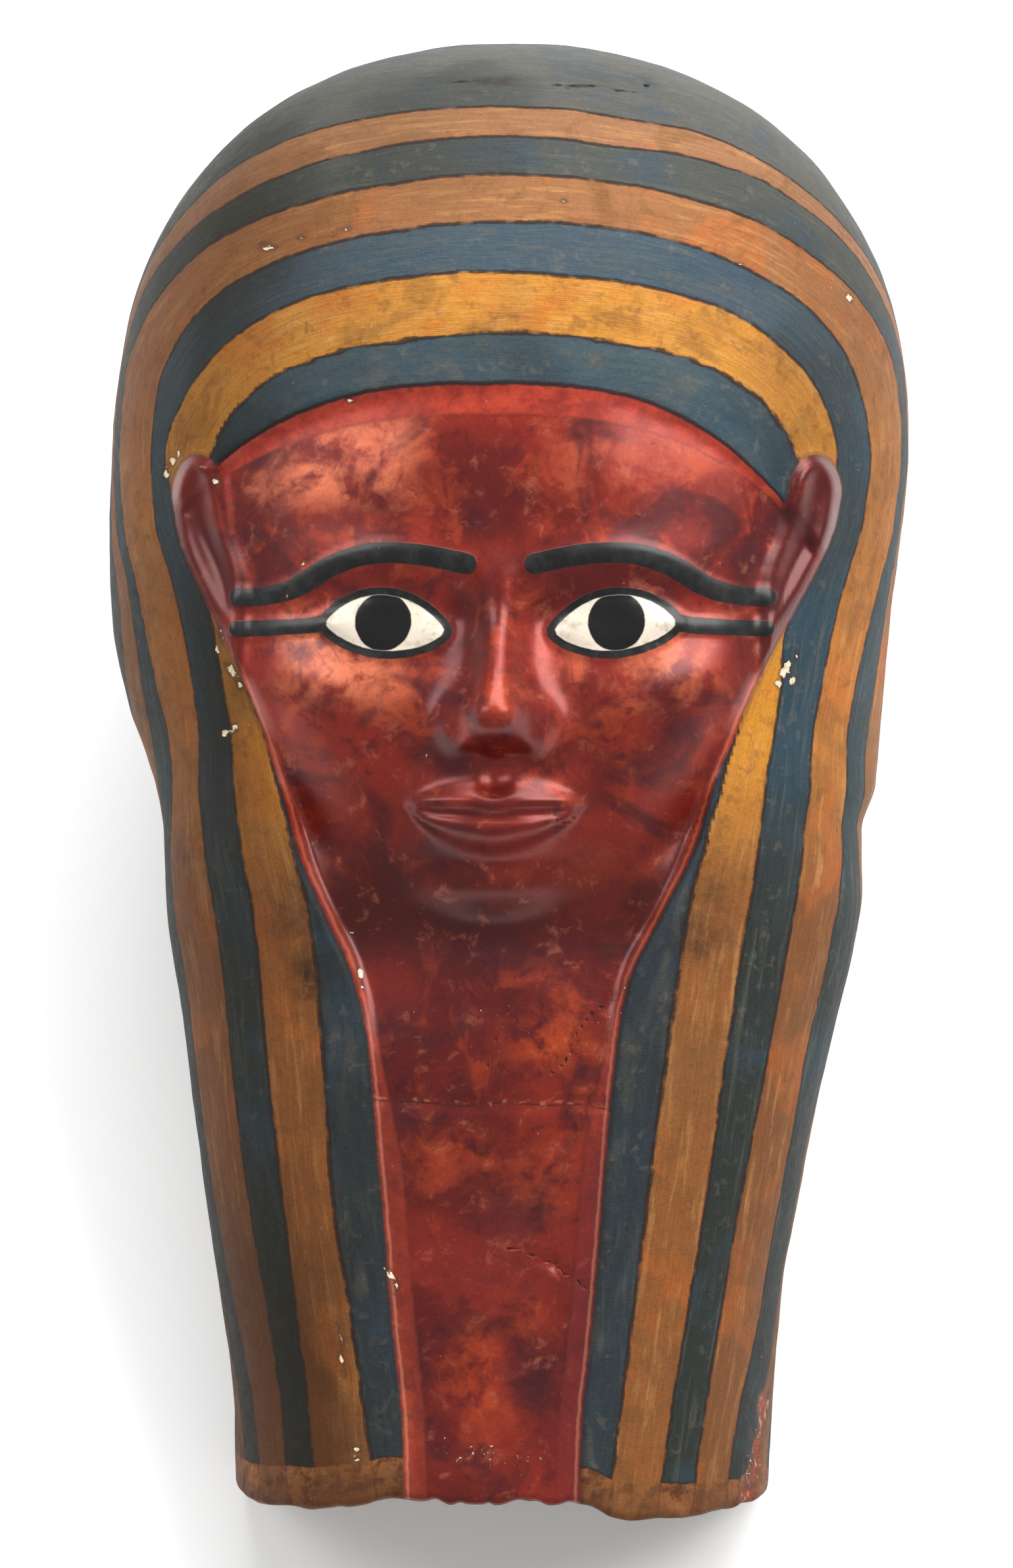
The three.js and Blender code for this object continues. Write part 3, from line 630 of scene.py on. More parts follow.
# ---------------------------------------------------------------- one closed mesh
verts = [P, np.array([[0.0, 0.0, HEIGHT]]), Q, np.array([[0.0, 0.0, HEIGHT - WALL]])]
pole_out = len(P)
base_in = pole_out + 1
pole_in = base_in + len(Q)
base_rim = pole_in + 1
verts += rim_rings + [ring_in]
V = np.concatenate(verts)
nr = len(ring)
faces, uvs, mats = [], [], []
# the texture map's areas: front, back, inside of the front, inside of the back, rim
FRONT_UV, BACK_UV = (0.004, 0.655, 0.004, 0.996), (0.665, 0.800, 0.46, 0.996)
IN_FRONT_UV, IN_BACK_UV = (0.810, 0.996, 0.34, 0.996), (0.665, 0.800, 0.20, 0.45)
RIM_UV = (0.665, 0.996, 0.02, 0.19)


def place(area, u, v):
    return (area[0] + (area[1] - area[0]) * u, area[2] + (area[3] - area[2]) * v)


def grid_faces(g, base, pole, flip, front_area, back_area, cols_, mat):
    all_z = np.concatenate([g.z[g.row[j] : g.row[j] + 1] for j in range(g.rows)])
    # rows spread by how far they are down the surface, measured on the middle column
    mid = g.points[[g.row[j] + g.nf // 2 for j in range(g.rows)]]
    down = np.concatenate([[0], np.cumsum(np.linalg.norm(np.diff(mid, axis=0), axis=1))]) + 6.0
    v_front = 1 - down / down[-1]
    v_back = 1 - down[: g.nu] / down[g.nu - 1]
    # columns spread by how far they are round, measured on a row at the cheeks
    j = min(g.nu - 1, int(np.argmin(np.abs(all_z - 260))))
    line = g.points[g.row[j] : g.row[j] + g.nf]
    round_ = np.concatenate([[0], np.cumsum(np.linalg.norm(np.diff(line, axis=0), axis=1))])
    u_front = round_ / round_[-1]

    def put(ids, uv):
        if flip:
            ids, uv = ids[::-1], uv[::-1]
        faces.append([base + i if i >= 0 else pole for i in ids])
        uvs.append(uv)
        mats.append(mat)

    width = g.nf + g.nb

    def uv_of(jj, i, back):
        if back:
            return place(back_area, (i - g.nf + 1) / (g.nb + 1), v_back[jj])
        return place(front_area, u_front[i], v_front[jj])

    for i in range(width):
        back = i >= g.nf - 1
        i2 = i + 1
        a, b = uv_of(0, i, back), uv_of(0, i2 if back or i2 < g.nf else i2, back)
        top = place(back_area if back else front_area, ((i + 0.5 - g.nf + 1) / (g.nb + 1)) if back else (u_front[i] + u_front[i2]) / 2, 1.0)
        put([-1, g.at(0, i), g.at(0, i2)], [top, a, b])
    for jj in range(g.nu - 1):
        for i in range(width):
            back = i >= g.nf - 1
            put([g.at(jj, i), g.at(jj + 1, i), g.at(jj + 1, i + 1), g.at(jj, i + 1)], [uv_of(jj, i, back), uv_of(jj + 1, i, back), uv_of(jj + 1, i + 1, back), uv_of(jj, i + 1, back)])
    for jj in range(g.nu - 1, g.rows - 1):
        for i in range(g.nf - 1):
            put([g.row[jj] + i, g.row[jj + 1] + i, g.row[jj + 1] + i + 1, g.row[jj] + i + 1], [uv_of(jj, i, False), uv_of(jj + 1, i, False), uv_of(jj + 1, i + 1, False), uv_of(jj, i + 1, False)])


grid_faces(outer, 0, pole_out, False, FRONT_UV, BACK_UV, cols, 0)
grid_faces(inner, base_in, pole_in, True, IN_FRONT_UV, IN_BACK_UV, in_cols, 1)
# the rim: outer edge, four rounded rings, inner edge, then a strip to the coarser inner face
rings = [ring] + [base_rim + k * nr + np.arange(nr) for k in range(len(RIM_STEPS) + 1)]
for k in range(len(rings) - 1):
    for i in range(nr):
        i2 = (i + 1) % nr
        u0, u1 = i / nr, (i + 1) / nr
        v0, v1 = 1 - 0.8 * k / (len(rings) - 1), 1 - 0.8 * (k + 1) / (len(rings) - 1)
        faces.append([int(rings[k][i]), int(rings[k + 1][i]), int(rings[k + 1][i2]), int(rings[k][i2])])
        uvs.append([place(RIM_UV, u0, v0), place(RIM_UV, u0, v1), place(RIM_UV, u1, v1), place(RIM_UV, u1, v0)])
        mats.append(0 if k == 0 else 1)


def run_length(ids, count):
    p = V[ids]
    seg = np.linalg.norm(np.roll(p, -1, 0) - p, axis=1)
    return np.concatenate([[0], np.cumsum(seg)]) / seg.sum()


dense, coarse = rings[-1], base_in + in_ring
# run by run, so that corners meet
dense_runs = np.cumsum([0] + [len(r) for r in ring_runs])
coarse_runs = np.cumsum([0] + [len(r) for r in boundary(inner)])
for r in range(4):
    a = [int(dense[i % nr]) for i in range(dense_runs[r], dense_runs[r + 1] + 1)]
    b = [int(coarse[i % len(coarse)]) for i in range(coarse_runs[r], coarse_runs[r + 1] + 1)]

    def share(ids):
        q = V[ids]
        s = np.concatenate([[0], np.cumsum(np.linalg.norm(np.diff(q, axis=0), axis=1))])
        return s / s[-1]

    sa, sb = share(a), share(b)
    i = j = 0
    ua = lambda q: (dense_runs[r] + sa[q] * len(ring_runs[r])) / nr
    ub = lambda q: (dense_runs[r] + sb[q] * len(ring_runs[r])) / nr
    while i < len(a) - 1 or j < len(b) - 1:
        na = sa[i + 1] if i < len(a) - 1 else 9
        nb = sb[j + 1] if j < len(b) - 1 else 9
        if na <= nb:
            faces.append([a[i], b[j], a[i + 1]])
            uvs.append([place(RIM_UV, ua(i), 0.2), place(RIM_UV, ub(j), 0.0), place(RIM_UV, ua(i + 1), 0.2)])
            i += 1
        else:
            faces.append([a[i], b[j], b[j + 1]])
            uvs.append([place(RIM_UV, ua(i), 0.2), place(RIM_UV, ub(j), 0.0), place(RIM_UV, ub(j + 1), 0.0)])
            j += 1
        mats.append(1)

# ---------------------------------------------------------------- lay it down, in metres, where the solid lies
tc, ts = math.cos(LIE_TILT), math.sin(LIE_TILT)
CENTRE = np.array([1.5017, 191.6489, 0.0])  # the solid's own centring


def lay(p):
    p = np.asarray(p, float)
    return np.stack([p[..., 0], p[..., 2] * tc - p[..., 1] * ts, p[..., 1] * tc + p[..., 2] * ts - REST_LEVEL], -1)


L = lay(V) - CENTRE
L[:, 2] = np.maximum(0, L[:, 2])
L /= 1000.0

# ---------------------------------------------------------------- stripes of the headdress, whole numbers at their edges
# Angles from straight ahead of the six borders between stripes: above 300 mm by the angle round the crown (0 at an ear,
# 90 over the forehead), below it by height.
ROUND = [0, 5, 10, 20, 30, 40, 50, 60, 75, 90]
UP_LEFT = [
    [47.5, 46.6, 45.5, 42.4, 38.3, 33.9, 30.4, 27.6, 25.6, 25.2],
    [51.5, 53.6, 55.2, 52.0, 47.8, 43.6, 39.7, 36.6, 34.1, 33.3],
    [57.0, 57.9, 58.6, 58.5, 55.5, 51.2, 46.8, 43.5, 40.7, 40.0],
    [68.3, 70.6, 72.2, 72.2, 67.2, 60.8, 54.9, 50.8, 47.7, 46.9],
    [72.5, 74.6, 76.2, 77.0, 73.0, 67.0, 60.7, 56.8, 53.5, 52.7],
    [77.0, 78.6, 80.0, 81.0, 78.5, 72.6, 68.1, 63.6, 59.3, 58.0],
]
UP_RIGHT = [
    [49.0, 48.3, 47.3, 43.8, 38.9, 34.4, 30.4, 28.0, 26.0, 25.2],
    [53.5, 54.5, 55.0, 52.7, 48.4, 44.1, 39.9, 36.7, 33.9, 33.3],
    [61.6, 62.3, 62.6, 60.8, 56.7, 51.7, 47.4, 44.1, 41.1, 40.0],
    [73.9, 75.0, 75.3, 73.0, 67.0, 60.3, 55.1, 50.9, 47.7, 46.9],
    [79.5, 80.2, 80.4, 79.5, 74.5, 68.5, 63.0, 57.8, 53.2, 52.7],
    [86.0, 86.6, 87.0, 85.0, 79.0, 72.5, 67.1, 62.7, 58.4, 58.0],
]
DOWN = [0, 20, 60, 100, 140, 180, 200, 220, 240, 250, 260, 270, 280, 300]
LOW_LEFT = [
    [19.5, 21.7, 25.3, 28.9, 29.9, 31.4, 33.5, 36.0, 39.0, 40.5, 42.0, 43.5, 45.0, 47.5],
    [30.5, 32.3, 35.5, 38.2, 40.0, 40.8, 42.6, 44.2, 44.4, 44.4, 44.6, 45.4, 47.2, 51.5],
    [36.0, 38.0, 42.0, 45.7, 47.4, 48.3, 50.1, 51.8, 50.7, 50.4, 50.6, 51.6, 53.2, 57.0],
    [43.5, 46.4, 52.6, 58.1, 59.8, 60.9, 62.2, 60.8, 60.4, 60.4, 60.9, 62.1, 63.8, 68.3],
    [50.0, 53.0, 62.0, 67.5, 70.0, 71.5, 70.5, 68.0, 66.0, 65.0, 64.3, 64.9, 66.5, 72.5],
    [62.0, 66.0, 76.0, 80.0, 83.0, 84.0, 85.0, 86.0, 78.0, 74.0, 71.5, 71.5, 73.0, 77.0],
]
LOW_RIGHT = [
    [18.8, 20.6, 23.9, 26.8, 29.4, 31.8, 34.0, 37.0, 40.0, 41.5, 43.0, 44.5, 46.0, 49.0],
    [27.6, 29.5, 33.8, 37.2, 39.2, 41.2, 42.5, 44.0, 46.2, 46.4, 45.9, 47.4, 49.6, 53.5],
    [33.8, 35.9, 40.6, 44.1, 47.1, 49.0, 50.5, 52.2, 54.3, 55.2, 56.0, 57.2, 58.7, 61.6],
    [42.0, 44.4, 52.4, 55.2, 57.1, 58.9, 60.5, 61.8, 63.9, 65.1, 66.4, 68.3, 70.4, 73.9],
    [50.0, 53.0, 62.0, 67.0, 70.0, 71.0, 68.6, 68.6, 72.0, 73.6, 74.7, 75.8, 77.0, 79.5],
    [62.0, 66.0, 76.0, 80.0, 83.0, 84.0, 78.0, 84.0, 88.0, 87.5, 86.0, 85.0, 84.5, 86.0],
]


def stripes(x, d, z):
    """(place across the stripes: whole numbers at their borders, local stripe width in millimetres)"""
    high = z >= 300
    r3 = np.sqrt(x * x + d * d + (z - 300) ** 2)
    r2 = np.hypot(x, d)
    angle = np.degrees(np.where(high, np.arccos(np.clip(d / np.maximum(r3, 1e-6), -1, 1)), np.arctan2(np.abs(x), d)))
    psi = np.degrees(np.arctan2(np.maximum(z - 300, 0), np.abs(x)))
    edges = []
    for k in range(6):
        above = np.where(x < 0, curve(list(zip(ROUND, UP_LEFT[k])))(psi), curve(list(zip(ROUND, UP_RIGHT[k])))(psi))
        below = np.where(x < 0, curve(list(zip(DOWN, LOW_LEFT[k])))(z), curve(list(zip(DOWN, LOW_RIGHT[k])))(z))
        edges.append(np.where(high, above, below))
    s = np.where(angle < edges[0], angle / edges[0], 0)
    width = np.full(angle.shape, 20.0)
    for k in range(1, 6):
        gap = np.maximum(edges[k] - edges[k - 1], 0.8)
        here = (angle >= edges[k - 1]) & (angle < edges[k])
        s = np.where(here, k + (angle - edges[k - 1]) / gap, s)
        width = np.where(here, gap, width)
    beyond = angle - edges[5]
    gap = np.maximum(edges[5] - edges[4], 0.8)
    s = np.where(beyond >= 0, 6 + np.minimum(beyond, 4) / gap + np.maximum(beyond - 4, 0) / 20, s)
    width = np.where((beyond >= 0) & (beyond < 4), gap, width)
    return s, np.radians(width) * np.where(high, r3, r2)


stripe, stripe_width = stripes(wig_x, wig_d, outer.z)
# how far along its stripe a point is: up the right side, over the crown and down the left
run_along = np.where(Z0 >= 300, 300 + 130 * np.arctan2(Z0 - 300, X0), np.where(X0 > 0, Z0, 600 + 130 * math.pi - Z0))
stripe_end = np.where(X0 < 0, np.interp(X0, [-86, -70, -40], [9.4, 11.0, 12.5]), np.interp(X0, [30, 70, 84], [10.8, 8.0, 6.2]))
on_hem = np.where(np.abs(outer.theta) < 1.7, outer.z - stripe_end, outer.z - 9.0)
F0 = X0 - mid_x(Z0)  # across the face, from its middle
near_eye = facing & (np.abs(Z0 - EYE_Z) < 40) & (np.abs(F0) < 100)
eye = np.full(X0.shape, 30.0)
eye[near_eye] = eye_distance(F0[near_eye], Z0[near_eye])
brow = np.full(X0.shape, 30.0)
brow[near_eye] = brow_distance(F0[near_eye], Z0[near_eye])
iris = np.full(X0.shape, 30.0)
iris[near_eye] = np.hypot(np.abs(F0[near_eye]) - FACE_FIFTH - 0.4, (Z0[near_eye] - EYE_Z - 1.6) * 0.98) - 8.4
ear = np.where(facing, ear_distance(F0, Z0), 30.0)
# painted shade: weight of the darkening in each ear's hollow
ear_hollow_shade = np.where(facing & (ear < 0), bump((np.abs(F0) - ear_middle(Z0) - 0.3) / 4.0, (Z0 - 289) / 15), 0)


def spots(points, soft):
    """Weight of broad patches: 1 at each one's middle."""
    w = np.zeros(X0.shape)
    for sx, sz, a, b, strength in points:
        w = np.maximum(w, strength * bump((X0 - sx) / a, (Z0 - sz) / b))
    return np.where(facing, w, 0)


dark_stain = spots([(-56.7, 160, 5, 9, 1.0), (-61, 178, 7, 12, 0.6), (60, 172, 9, 7, 0.75), (66, 186, 8, 10, 0.4), (-108, 240, 7, 7, 0.5), (-80, 214, 8, 14, 0.5), (-2, 430.8, 7, 1.6, 0.9), (-4, 352, 4, 2, 0.6), (-78, 244, 9, 8, 0.35), (-96, 196, 6, 8, 0.4)], 1)
orange = spots([(17, 141, 13, 9, 1.0), (28, 122, 6, 8, 0.7), (-15, 108, 14, 8, 0.7), (12, 100, 12, 14, 0.65), (-5, 45, 9, 12, 0.8), (-3, 34, 6, 6, 0.9), (6, 60, 9, 10, 0.45), (-21, 118, 5, 5, 0.4), (24, 110, 4, 16, 0.5), (35, 232, 8, 9, 0.5), (-27, 22, 3.5, 22, 0.9)], 1)
# dusky blotches on the neck and bib; the wide one at z 168, under the chin, is a painted shadow
dusk_and_chin_shadow = spots([(-24, 118, 9, 4.5, 1.0), (4, 90, 12, 12, 0.7), (10, 45, 9, 12, 0.6), (-2, 72, 16, 10, 0.55), (0, 168, 26, 7, 0.7), (18, 30, 6, 10, 0.4), (-28, 150, 7, 10, 0.35)], 1)
gesso = spots([(-6, 16, 9, 5, 1.0), (8, 12, 8, 4, 0.8), (19, 12, 5, 3.5, 0.8), (-40, 16, 4, 5, 0.6), (78, 14, 5, 10, 0.8), (-46, 50, 3, 9, 0.5), (32, 150, 9, 7, 0.5), (4, 150, 14, 10, 0.35), (-30, 70, 4, 7, 0.5), (-100, 312, 4, 7, 0.6), (-45, 380, 18, 5, 0.35)], 1)

crease = np.where(facing & (np.abs(X0) < 45), Z0 - crease_line(X0), 40.0)
groups = {
    "crease": crease, "stripe": stripe, "gauge": stripe_width, "along": run_along, "skin": skin, "hem": on_hem, "up": outer.z, "across": X0, "eye": eye, "brow": brow, "iris": iris,
    "ear": ear, "hollow": ear_hollow_shade, "crack": crack, "chip": chip, "raw": raw, "hole": hole, "stain": dark_stain, "orange": orange, "dusk_and_chin_shadow": dusk_and_chin_shadow, "gesso": gesso,
}
POLE = {"crease": 40.0, "stripe": float(stripe[: outer.row[1]].mean()), "gauge": 20.0, "along": 500.0, "skin": 60.0, "hem": 400.0, "up": 450.0, "across": 0.0, "eye": 30, "brow": 30, "iris": 30, "ear": 30, "hollow": 0, "crack": 40, "chip": 40, "raw": 40, "hole": 40, "stain": 0, "orange": 0, "dusk_and_chin_shadow": 0, "gesso": 0}

mesh = bpy.data.meshes.new("mummy_mask")
mesh.from_pydata([tuple(p) for p in L], [], faces)
mesh.validate(verbose=True)
mesh.update()
for name, values in groups.items():
    full = np.concatenate([values, [POLE[name]], np.full(len(Q) + 1, POLE[name]), np.tile(values[ring], len(RIM_STEPS) + 1)]).astype(np.float32)
    mesh.attributes.new(name, "FLOAT", "POINT").data.foreach_set("value", full)
rim = np.zeros(len(V), np.float32)
rim[base_rim:] = 1.0
rim[ring] = 0.5
mesh.attributes.new("rim", "FLOAT", "POINT").data.foreach_set("value", rim)
layer = mesh.uv_layers.new(name="OFBake")
layer.data.foreach_set("uv", np.array([c for f in uvs for c in f], np.float32).ravel())
mesh.polygons.foreach_set("material_index", np.array(mats, np.int32))
mesh.polygons.foreach_set("use_smooth", np.ones(len(faces), bool))
mask = bpy.data.objects.new("mummy_mask", mesh)
bpy.context.scene.collection.objects.link(mask)
print("triangles", sum(len(f) - 2 for f in faces))


# ---------------------------------------------------------------- materials
def rgb(r, g, b):
    """A colour from sRGB 0-255 values, as Blender's linear one."""
    out = []
    for v in (r, g, b):
        v /= 255.0
        out.append(v / 12.92 if v <= 0.04045 else ((v + 0.055) / 1.055) ** 2.4)
    return (*out, 1.0)


class Shader:
    """A node material written as expressions."""

    def __init__(self, name):
        self.mat = bpy.data.materials.new(name)
        self.mat.use_nodes = True
        self.tree = self.mat.node_tree
        self.tree.nodes.clear()
        out = self.tree.nodes.new("ShaderNodeOutputMaterial")
        self.bsdf = self.tree.nodes.new("ShaderNodeBsdfPrincipled")
        self.tree.links.new(self.bsdf.outputs[0], out.inputs["Surface"])
        self.place = self.tree.nodes.new("ShaderNodeTexCoord").outputs["Object"]
        self.known = {}

    def put(self, socket, value):
        if isinstance(value, bpy.types.NodeSocket):
            self.tree.links.new(value, socket)
        elif value is not None:
            socket.default_value = value

    def attr(self, name):
        if name not in self.known:
            n = self.tree.nodes.new("ShaderNodeAttribute")
            n.attribute_name = name
            self.known[name] = n.outputs["Fac"]
        return self.known[name]

    def math(self, op, a, b=None, c=None, clamp=False):
        n = self.tree.nodes.new("ShaderNodeMath")
        n.operation, n.use_clamp = op, clamp
        for socket, v in zip(n.inputs, (a, b, c)):
            self.put(socket, v)
        return n.outputs[0]

    def add(self, a, b):
        return self.math("ADD", a, b)

    def sub(self, a, b):
        return self.math("SUBTRACT", a, b)

    def mul(self, a, b, clamp=False):
        return self.math("MULTIPLY", a, b, clamp=clamp)

    def remap(self, v, a, b, c=0.0, d=1.0, smooth=True):
        n = self.tree.nodes.new("ShaderNodeMapRange")
        n.interpolation_type = "SMOOTHSTEP" if smooth else "LINEAR"
        n.clamp = True
        flip = a > b  # from low to high always
        for socket, x in zip(n.inputs, (v, min(a, b), max(a, b), d if flip else c, c if flip else d)):
            self.put(socket, x)
        return n.outputs[0]

    def vector(self, x, y, z):
        n = self.tree.nodes.new("ShaderNodeCombineXYZ")
        for socket, v in zip(n.inputs, (x, y, z)):
            self.put(socket, v)
        return n.outputs[0]

    def noise(self, scale, detail=2.0, rough=0.5, warp=0.0, at=None):
        n = self.tree.nodes.new("ShaderNodeTexNoise")
        self.put(n.inputs["Vector"], at or self.place)
        n.inputs["Scale"].default_value = scale
        n.inputs["Detail"].default_value = detail
        n.inputs["Roughness"].default_value = rough
        n.inputs["Distortion"].default_value = warp
        return n.outputs["Fac"]

    def wave(self, scale, axis, warp=0.0):
        n = self.tree.nodes.new("ShaderNodeTexWave")
        n.wave_type, n.bands_direction = "BANDS", axis
        self.put(n.inputs["Vector"], self.place)
        n.inputs["Scale"].default_value = scale
        n.inputs["Distortion"].default_value = warp
        n.inputs["Detail"].default_value = 1.0
        return n.outputs["Fac"]

    def mix(self, f, a, b, blend="MIX"):
        n = self.tree.nodes.new("ShaderNodeMix")
        n.data_type, n.blend_type, n.clamp_factor = "RGBA", blend, True
        self.put(n.inputs[0], f)
        self.put(n.inputs[6], a)
        self.put(n.inputs[7], b)
        return n.outputs[2]

    def blend(self, f, a, b):
        n = self.tree.nodes.new("ShaderNodeMix")
        n.data_type, n.clamp_factor = "FLOAT", True
        self.put(n.inputs[0], f)
        self.put(n.inputs[2], a)
        self.put(n.inputs[3], b)
        return n.outputs[0]

    def shade(self, colour, f, low, high):
        """colour times a grey between low and high."""
        g = self.remap(f, 0.25, 0.75, low, high, smooth=False)
        return self.mix(1.0, colour, self.vector(g, g, g), "MULTIPLY")

    def ramp(self, f, stops, interpolation="LINEAR"):
        n = self.tree.nodes.new("ShaderNodeValToRGB")
        r = n.color_ramp
        r.interpolation = interpolation
        while len(r.elements) > 1:
            r.elements.remove(r.elements[-1])
        r.elements[0].position, r.elements[0].color = stops[0]
        for position, colour in stops[1:]:
            r.elements.new(position).color = colour
        self.put(n.inputs[0], f)
        return n.outputs[0]

    def bump(self, height, distance, normal=None, strength=1.0):
        n = self.tree.nodes.new("ShaderNodeBump")
        n.inputs["Strength"].default_value = strength
        n.inputs["Distance"].default_value = distance
        self.put(n.inputs["Height"], height)
        self.put(n.inputs["Normal"], normal)
        return n.outputs[0]


def paint():
    h = Shader("painted_cartonnage")
    A = h.attr
    # hand wobble of every painted edge, in millimetres
    fine, slow = h.noise(430, 3), h.noise(95, 2)
    wobble = h.add(h.mul(h.sub(fine, 0.5), 0.9), h.mul(h.sub(slow, 0.5), 1.3))
    small_wobble = h.add(h.mul(h.sub(fine, 0.5), 1.0), h.mul(h.sub(slow, 0.5), 1.1))
    up, across = A("up"), A("across")

    # stripes
    s = h.add(A("stripe"), h.math("DIVIDE", wobble, A("gauge")))
    t = h.math("DIVIDE", s, 8.0)

    def bands(*colours):
        return h.ramp(t, [(k / 8, rgb(*c)) for k, c in enumerate(colours)], "CONSTANT")

    crown = bands((62, 76, 82), (184, 124, 48), (62, 76, 86), (142, 94, 58), (68, 70, 66), (138, 96, 66), (78, 78, 74))
    side = bands((44, 66, 80), (192, 128, 40), (40, 62, 74), (168, 104, 40), (42, 58, 64), (132, 84, 40), (42, 50, 56))
    low = bands((44, 52, 58), (136, 84, 44), (42, 48, 46), (120, 74, 42), (36, 44, 44), (96, 62, 38), (30, 36, 40))
    base = h.mix(h.remap(up, 300, 352), side, crown)
    base = h.mix(h.remap(up, 176, 246), low, base)
    is_blue = h.ramp(t, [(k / 8, (1, 1, 1, 1) if k % 2 == 0 else (0, 0, 0, 1)) for k in range(7)], "CONSTANT")

    # brush streaks that follow the stripes, patches and dirt
    streak = h.noise(1.0, 3, 0.6, 0.4, at=h.vector(h.math("DIVIDE", A("along"), 26.0), h.mul(A("stripe"), 7.0), h.math("DIVIDE", across, 90.0)))
    thin = h.noise(1.0, 2, 0.6, 0.2, at=h.vector(h.math("DIVIDE", A("along"), 14.0), h.mul(A("stripe"), 26.0), h.math("DIVIDE", across, 60.0)))
    patch, cloud, grain, dust = h.noise(38, 3, 0.6, 0.5), h.noise(16, 2, 0.55), h.noise(900, 2, 0.7), h.noise(210, 3, 0.65, 0.3)
    blue = h.mix(h.mul(h.remap(patch, 0.48, 0.68), 0.5), base, rgb(48, 68, 82))
    blue = h.mix(h.mul(h.remap(streak, 0.5, 0.72), 0.45), blue, rgb(92, 88, 78))
    blue = h.mix(h.mul(h.remap(cloud, 0.5, 0.38), 0.5), blue, rgb(44, 50, 50))
    blue = h.mix(h.mul(h.remap(dust, 0.55, 0.72), 0.26), blue, rgb(118, 108, 94))
    yellow = h.mix(h.mul(h.remap(patch, 0.5, 0.66), 0.45), base, rgb(176, 92, 34))
    yellow = h.mix(h.mul(h.remap(streak, 0.5, 0.7), 0.35), yellow, rgb(196, 146, 88))
    yellow = h.mix(h.mul(h.remap(dust, 0.53, 0.68), 0.42), yellow, rgb(112, 76, 46))
    yellow = h.mix(h.mul(h.remap(h.noise(58, 3, 0.6, 0.8), 0.52, 0.66), 0.42), yellow, rgb(108, 72, 36))
    yellow = h.mix(h.mul(h.remap(cloud, 0.5, 0.36), 0.3), yellow, rgb(116, 80, 48))
    wig = h.mix(is_blue, yellow, blue)
    # grime and painted shade: browner low down; darker on the mask's left as seen, painted shade of the side away from
    # the main lights as well as dirt; a little darker high up on the right side
    grime_and_shade = h.mul(h.remap(h.add(across, h.mul(h.sub(cloud, 0.5), 60)), 8, -100), 0.56)
    grime_and_shade = h.math("MAXIMUM", grime_and_shade, h.mul(h.remap(h.add(up, h.mul(h.sub(patch, 0.5), 60)), 210, 20), 0.25))
    grime_and_shade = h.add(grime_and_shade, h.mul(h.remap(h.add(across, h.mul(h.sub(patch, 0.5), 30)), -25, -60), h.remap(up, 130, 20, 0, 0.75)))
    grime_and_shade = h.add(grime_and_shade, h.mul(h.mul(h.remap(across, -50, -78), h.remap(across, -100, -86)), h.mul(is_blue, h.remap(up, 180, 240, 0, 0.25))))
    grime_and_shade = h.add(grime_and_shade, h.mul(h.remap(h.add(across, h.mul(h.sub(patch, 0.5), 30)), 62, 108), h.remap(up, 235, 300, 0, 0.26)))
    grime_and_shade = h.math("MINIMUM", grime_and_shade, 0.92)
    wig = h.mix(grime_and_shade, wig, h.mix(is_blue, rgb(72, 42, 20), rgb(34, 32, 24)))
    wig = h.shade(wig, thin, 0.86, 1.14)
    wig = h.shade(wig, grain, 0.88, 1.12)

    # thin dark lines where two stripes meet
    whole = h.math("ROUND", s)
    off = h.mul(h.math("ABSOLUTE", h.sub(s, whole)), A("gauge"))
    line = h.mul(h.remap(off, 0.95, 0.30), h.mul(h.remap(s, 0.5, 0.6), h.remap(s, 6.6, 6.5)))
    line = h.mul(line, h.remap(h.noise(170, 2), 0.3, 0.5, 0.35, 0.9))
    wig = h.mix(line, wig, rgb(40, 30, 27))

    # plain hem
    hem = h.add(A("hem"), wobble)
    hem_colour = h.mix(h.remap(dust, 0.42, 0.62), rgb(126, 78, 42), rgb(84, 50, 28))
    hem_colour = h.mix(h.mul(h.remap(h.noise(120, 3, 0.6), 0.5, 0.66), 0.6), hem_colour, rgb(150, 100, 56))
    hem_colour = h.shade(hem_colour, grain, 0.85, 1.1)
    on_hem = h.remap(hem, 0.5, -0.3)
    wig = h.mix(h.mul(h.remap(h.math("ABSOLUTE", hem), 1.1, 0.3), h.mul(is_blue, 0.8)), wig, rgb(34, 27, 24))
    wig = h.mix(h.mul(on_hem, h.blend(is_blue, 0.55, 1.0)), wig, hem_colour)
    wig = h.mix(h.mul(h.remap(h.add(hem, h.mul(h.sub(slow, 0.5), 16)), -1.5, -9.5), 0.5), wig, rgb(72, 42, 28))
    wig = h.mix(h.mul(A("stain"), h.remap(dust, 0.35, 0.6, 0.5, 0.95)), wig, rgb(46, 34, 26))

